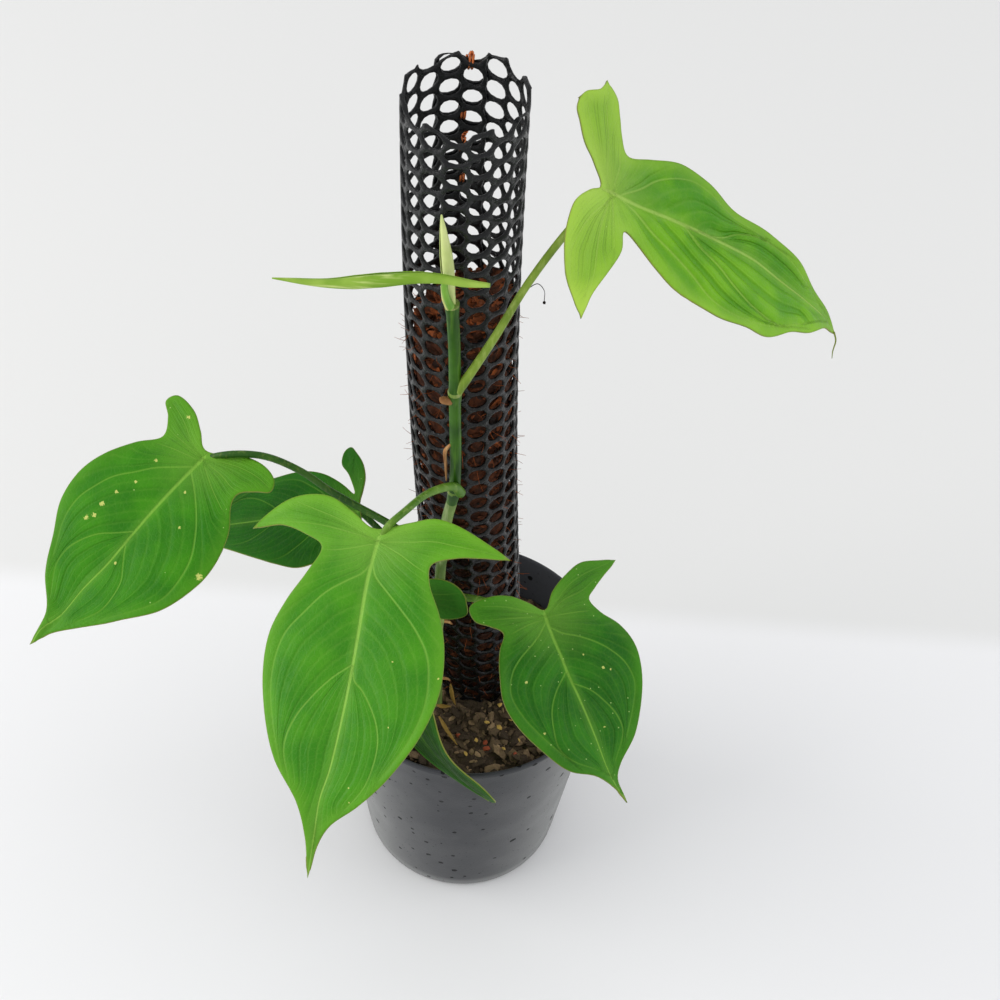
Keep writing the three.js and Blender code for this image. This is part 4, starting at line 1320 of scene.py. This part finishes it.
def is_inside(points, ring):
    starts, ends = ring[:-1], ring[1:]
    spans = (starts[:, 1] > points[:, None, 1]) != (ends[:, 1] > points[:, None, 1])
    rise = np.where(ends[:, 1] == starts[:, 1], 1.0, ends[:, 1] - starts[:, 1])
    crossing = starts[:, 0] + (points[:, None, 1] - starts[:, 1]) * (ends[:, 0] - starts[:, 0]) / rise
    return (spans & (points[:, None, 0] < crossing)).sum(1) % 2 == 1


def fill_outline(outline):
    ring = np.vstack([outline, outline[:1]])
    low, high = outline.min(0), outline.max(0)
    columns = np.arange(low[0], high[0], FILL_GAP)
    rows = np.arange(low[1], high[1], FILL_GAP * 0.866)
    a, b = np.meshgrid(columns, rows)
    a = a + np.where(np.arange(len(rows)) % 2, FILL_GAP / 2, 0.0)[:, None]
    grid = np.stack([a.ravel(), b.ravel()], 1)
    grid = grid[is_inside(grid, ring)]
    grid = grid[nearest_on(grid, ring)[0] > FILL_GAP * 0.6]
    corners = [Vector(spot) for spot in np.vstack([outline, grid])]
    found = delaunay_2d_cdt(corners, [], [list(range(len(outline)))], 1, 1e-4)
    return np.array(found[0]), found[2]


def pointed_outline(leaf):
    outline = even_points(curve_through(leaf["outline"], 12, closed=True), EDGE_GAP)[:-1]
    for place in [leaf["midrib"][-1]] + leaf.get("points", []):
        k = int(np.linalg.norm(outline - np.array(place, float), axis=1).argmin())
        back = (outline[k - 3] + outline[(k + 3) % len(outline)]) / 2
        out = np.array(place, float) - back
        outline[k] = place + out / np.linalg.norm(out) * TIP_REACH
    return outline


def grow_blade(bm, leaf):
    outline = pointed_outline(leaf)
    count = len(outline)
    points, triangles = fill_outline(outline)
    fields = vein_fields(points, leaf, outline)
    frame_axes = blade_frame(leaf)
    along = np.clip(points[:, 0] / frame_axes[4], 0, 1)
    rise = blade_relief(fields, leaf, along)
    column = np.linalg.norm(points[:, None] - outline[None], axis=2).argmin(1)
    wave = leaf.get("wave", EDGE_WAVE) * np.exp(-((fields["edge"] / WAVE_WIDTH) ** 2))
    waves = leaf.get("waves", EDGE_WAVES)
    rise += wave * np.sin(2 * math.pi * waves * column / count)
    rise += 0.25 * wave * np.sin(2 * math.pi * (waves * 2 + 3) * column / count + 1)
    layers = {name: bm.verts.layers.float_vector[name] for name in LEAF_ATTRIBUTES}
    verts = []
    for k, (a, b) in enumerate(points):
        vert = bm.verts.new(place_on_blade(leaf, frame_axes, a, b, rise[k]))
        vert[layers["flat"]] = Vector((a, b, 0))
        vert[layers["blade"]] = Vector((along[k], fields["edge"][k], fields["phase"][k]))
        vert[layers["ribs"]] = Vector((fields["middle"][k], fields["first"][k], fields["second"][k]))
        vert[layers["lobes"]] = Vector((fields["lobe_1"][k], fields["lobe_2"][k], fields["lobe_3"][k]))
        verts.append(vert)
    for corners in triangles:
        bm.faces.new([verts[k] for k in corners])


def push_down(made, normals, layers):
    for vert, normal in normals.items():
        along, edge = vert[layers["blade"]][:2]
        middle, first, second = vert[layers["ribs"]]
        ridge = 0.9 * math.exp(-((middle / 1.3) ** 2)) * (1 - 0.6 * along)
        ridge += 0.4 * math.exp(-(first ** 2)) + 0.35 * math.exp(-(second ** 2))
        made["vert_map"][vert].co = vert.co - normal * (BLADE_THICKNESS + ridge * min(1, edge / 3))


def give_thickness(bm, up):
    bm.normal_update()
    if sum((face.normal * face.calc_area() for face in bm.faces), Vector()).dot(up) < 0:
        bmesh.ops.reverse_faces(bm, faces=bm.faces)
        bm.normal_update()
    normals = {vert: vert.normal.copy() for vert in bm.verts}
    margin = [edge for edge in bm.edges if edge.is_boundary]
    made = bmesh.ops.duplicate(bm, geom=bm.verts[:] + bm.edges[:] + bm.faces[:])
    push_down(made, normals, bm.verts.layers.float_vector)
    under = [item for item in made["geom"] if isinstance(item, bmesh.types.BMFace)]
    bmesh.ops.reverse_faces(bm, faces=under)
    for face in under:
        face.material_index = UNDERSIDE
    twin_margin = [made["edge_map"][edge] for edge in margin]
    for face in bmesh.ops.bridge_loops(bm, edges=margin + twin_margin)["faces"]:
        face.material_index = MARGIN
    bmesh.ops.recalc_face_normals(bm, faces=bm.faces)


def grow_stalk(bm, leaf):
    frame_axes = blade_frame(leaf)
    places = list(leaf["stalk"])
    for share, drop in MIDRIB_DROPS:
        a = share * frame_axes[4]
        middle = float(np.interp(a, *np.array(leaf["midrib"]).T))
        places.append(tuple(place_on_blade(leaf, frame_axes, a, middle, -drop)))
    path = even_points(curve_through(places, 8), STALK_GAP)
    start = len(even_points(curve_through(leaf["stalk"], 8), STALK_GAP)) / len(path)
    shares = [0, 0.03, 0.1, start * 0.6, start, min(0.97, start + 0.1), 1]
    radii = np.interp(np.linspace(0, 1, len(path)), shares, STALK_WIDTHS)
    sweep_tube(bm, path, radii, STALK_SIDES, STALK)


def make_leaf(name, materials):
    leaf = LEAVES[name]
    bm = bmesh.new()
    for label in LEAF_ATTRIBUTES:
        bm.verts.layers.float_vector.new(label)
    grow_blade(bm, leaf)
    give_thickness(bm, blade_frame(leaf)[3])
    grow_stalk(bm, leaf)
    if "thread" in leaf:
        sweep_curve(bm, leaf["thread"], 5, [0.45, 0.3, 0.16], 6, MARGIN)
    return finish_piece(bm, f"three_lobed_leaf_{name}", materials, f"leaf_{name}")


# %% [markdown]
# No two leaves have the same green: the front one is bright, the one on the right is darker and dotted, the top
# one is young and yellow-green, and the two low ones are older and dark with painted shade from the leaves above.
# The underside is paler and duller. Scars, pale spots and the painted highlights of water drops are given by
# their place on the pressed leaf and their size.

# %% Leaf finishes
TAN = (138, 144, 62)
SCARS_LEFT = [
    (45, -17, 1.5), (51, -16, 1.2), (54, -18, 1.3), (37, -16, 1.0), (15, -14, 1.0), (-9, -19, 1.1),
    (28, -13, 0.9), (30, 18, 0.8), (60, 7, 0.8), (17, 7, 0.8), (40, 40, 1.8),
]
# Painted highlights of water drops on the front leaf.
DROP_HIGHLIGHTS_FRONT = [(50, 20, 0.45), (77, 24, 0.4), (53, 40, 0.5), (105, 12, 0.4), (111, 13, 0.4)]
SPOTS_RIGHT = [(26, -26, 0.8), (33, 13, 0.8), (35, 16, 0.6), (24, 7, 0.6), (50, -28, 0.6), (58, 2, 0.6)]


def greens_of(deep, fresh, pale, vein=(138, 188, 70)):
    return deep, fresh, pale, vein, TAN


FRONT_GREENS = greens_of((48, 122, 8), (68, 142, 12), (122, 180, 44), (146, 194, 78))
LEFT_GREENS = greens_of((38, 110, 8), (60, 134, 12), (100, 162, 34))
RIGHT_GREENS = greens_of((26, 90, 10), (44, 116, 12), (86, 150, 32))
TOP_GREENS = greens_of((68, 138, 6), (108, 170, 14), (176, 212, 76), (178, 208, 104))
# Painted shade: the back-left and lower leaves get dark greens for the shade cast on them by the leaves above.
BACK_SHADED_GREENS = greens_of((18, 74, 8), (30, 92, 12), (56, 118, 24))
LOWER_SHADED_GREENS = greens_of((20, 50, 10), (28, 66, 16), (66, 132, 40))
UNDER_GREENS = greens_of((74, 128, 44), (90, 144, 54), (112, 162, 70))
YOUNG_UNDER_GREENS = greens_of((102, 162, 52), (124, 180, 62), (152, 200, 84))
UPPER = {
    "front": leaf_finish("leaf_front_green", FRONT_GREENS, 0.85, 0.0, 0.4, DROP_HIGHLIGHTS_FRONT, 0.35, shine=0.2),
    "left": leaf_finish("leaf_left_green", LEFT_GREENS, 0.7, 0.06, 0.35, SCARS_LEFT, 0.4),
    "right": leaf_finish("leaf_right_green", RIGHT_GREENS, 0.7, 0.8, 0.4, SPOTS_RIGHT, 0.5),
    "top": leaf_finish("leaf_top_lime", TOP_GREENS, 0.6, 0.03, 0.3, (), 0.55, 0.3, shine=0.2),
    # The two low leaves carry painted shade in their greens.
    "back_left": leaf_finish("leaf_back_painted_shade", BACK_SHADED_GREENS, 0.35, 0.03, 0.3, shine=0.06),
    "lower": leaf_finish("leaf_low_painted_shade", LOWER_SHADED_GREENS, 0.22, 0.0, 0.3, shine=0.02),
}
under_dark = leaf_finish("leaf_underside", UNDER_GREENS, 0.8, 0.0, 0.4)
under_young = leaf_finish("young_underside", YOUNG_UNDER_GREENS, 0.8, 0.0, 0.5)
tan_rim = skin_finish("tan_rim", (104, 124, 44), (132, 136, 58), (150, 132, 74), 0.4, 0.5)
stalk_green = skin_finish("stalk_green", (70, 112, 28), (102, 140, 46), (148, 174, 90), 0.5)
stalk_olive = skin_finish("stalk_olive", (98, 124, 34), (130, 156, 56), (168, 186, 100), 0.5)
stalk_dark = skin_finish("stalk_dark", (34, 74, 18), (58, 100, 28), (104, 124, 56), 0.5)
STALK_SKINS = {"top": stalk_olive, "left": stalk_dark, "back_left": stalk_dark}
for name in LEAVES:
    underside = under_young if name == "top" else under_dark
    skins = [UPPER[name], underside, tan_rim, STALK_SKINS.get(name, stalk_green)]
    make_leaf(name, skins)

# %% [markdown]
# The new growth at the top is a pale spear: a sheath rolled round the next leaf, with one overlapping edge. A
# grid is rolled more than once round a path, so its outer edge lies over the inner one as a real sheath's does.
# The leaf that opened before it is still a spindle, rolled in the same way.

# %% Rolled sheets
ROLL_COLUMNS = 40
INNER_SHARE = 0.72
SPEAR = [(-14, -34.4, 482), (-15.2, -34.1, 494), (-16.5, -34, 508), (-17.8, -34, 520), (-19, -34.2, 531.5)]
REMNANT = [(-15.4, -36.2, 483), (-17, -38, 490), (-18.3, -38.4, 497.5)]
SPINDLE = [
    (-84, -44, 501), (-62, -42.3, 498.6), (-41, -41.3, 501.4), (-29, -41, 503.6), (-18, -41, 504),
    (-8, -42, 503.6), (1, -43, 504.4),
]
SPINDLE_STALK = [(-14, -34.6, 481), (-15.2, -38.6, 489), (-16.5, -41, 497), (-17, -41, 503)]


def roll_sheet(bm, path, radii, turns, start, thickness):
    frames = path_frames(path)
    grid = numbered_grid(bm, ROLL_COLUMNS, len(frames) - 1)
    for vert, share, row in grid:
        point, side, across = frames[row]
        turn = start + 2 * math.pi * turns * share
        radius = radii[row] * (INNER_SHARE + (1 - INNER_SHARE) * share)
        vert.co = point + (side * math.cos(turn) + across * math.sin(turn)) * radius
    faces = list({face for vert, share, row in grid for face in vert.link_faces})
    bmesh.ops.recalc_face_normals(bm, faces=faces)
    bmesh.ops.solidify(bm, geom=faces, thickness=thickness)


def make_shoot(materials):
    bm = bmesh.new()
    path = even_points(curve_through(SPEAR, 8), 1.2)
    radii = tapered([1.9, 2.1, 2.6, 2.8, 2.6, 2.0, 1.3, 0.35], len(path))
    sweep_tube(bm, path, radii * 0.8, 14)
    roll_sheet(bm, path, radii * 1.04, 1.25, 1.0, 0.25)
    sweep_curve(bm, REMNANT, 6, [1.3, 1.0, 0.25], 8, 1)
    return finish_piece(bm, "sheathed_shoot", materials, "shoot")


def make_rolled_leaf(materials):
    bm = bmesh.new()
    path = even_points(curve_through(SPINDLE, 8), 1.2)
    radii = tapered([0.3, 1.2, 1.9, 2.8, 3.0, 2.6, 2.1, 1.8, 0.9], len(path))
    sweep_tube(bm, path, radii * 0.74, 14, 1)
    roll_sheet(bm, path, radii * 1.04, 1.6, 2.4, 0.3)
    sweep_curve(bm, SPINDLE_STALK, 8, [1.9, 1.5, 1.4, 1.4], 12, 1)
    return finish_piece(bm, "rolled_new_leaf", materials, "rolled_leaf")


make_shoot([
    skin_finish("pale_sheath", (186, 202, 122), (216, 224, 154), (234, 236, 186), 0.6),
    skin_finish("yellow_sheath", (188, 196, 110), (214, 212, 140), (228, 220, 160), 0.5),
])
make_rolled_leaf([
    skin_finish("rolled_green", (118, 158, 44), (158, 190, 80), (208, 222, 138), 0.8, stretch=ALONG_X),
    skin_finish("young_stalk", (96, 148, 44), (128, 176, 66), (172, 204, 110), 0.5),
])
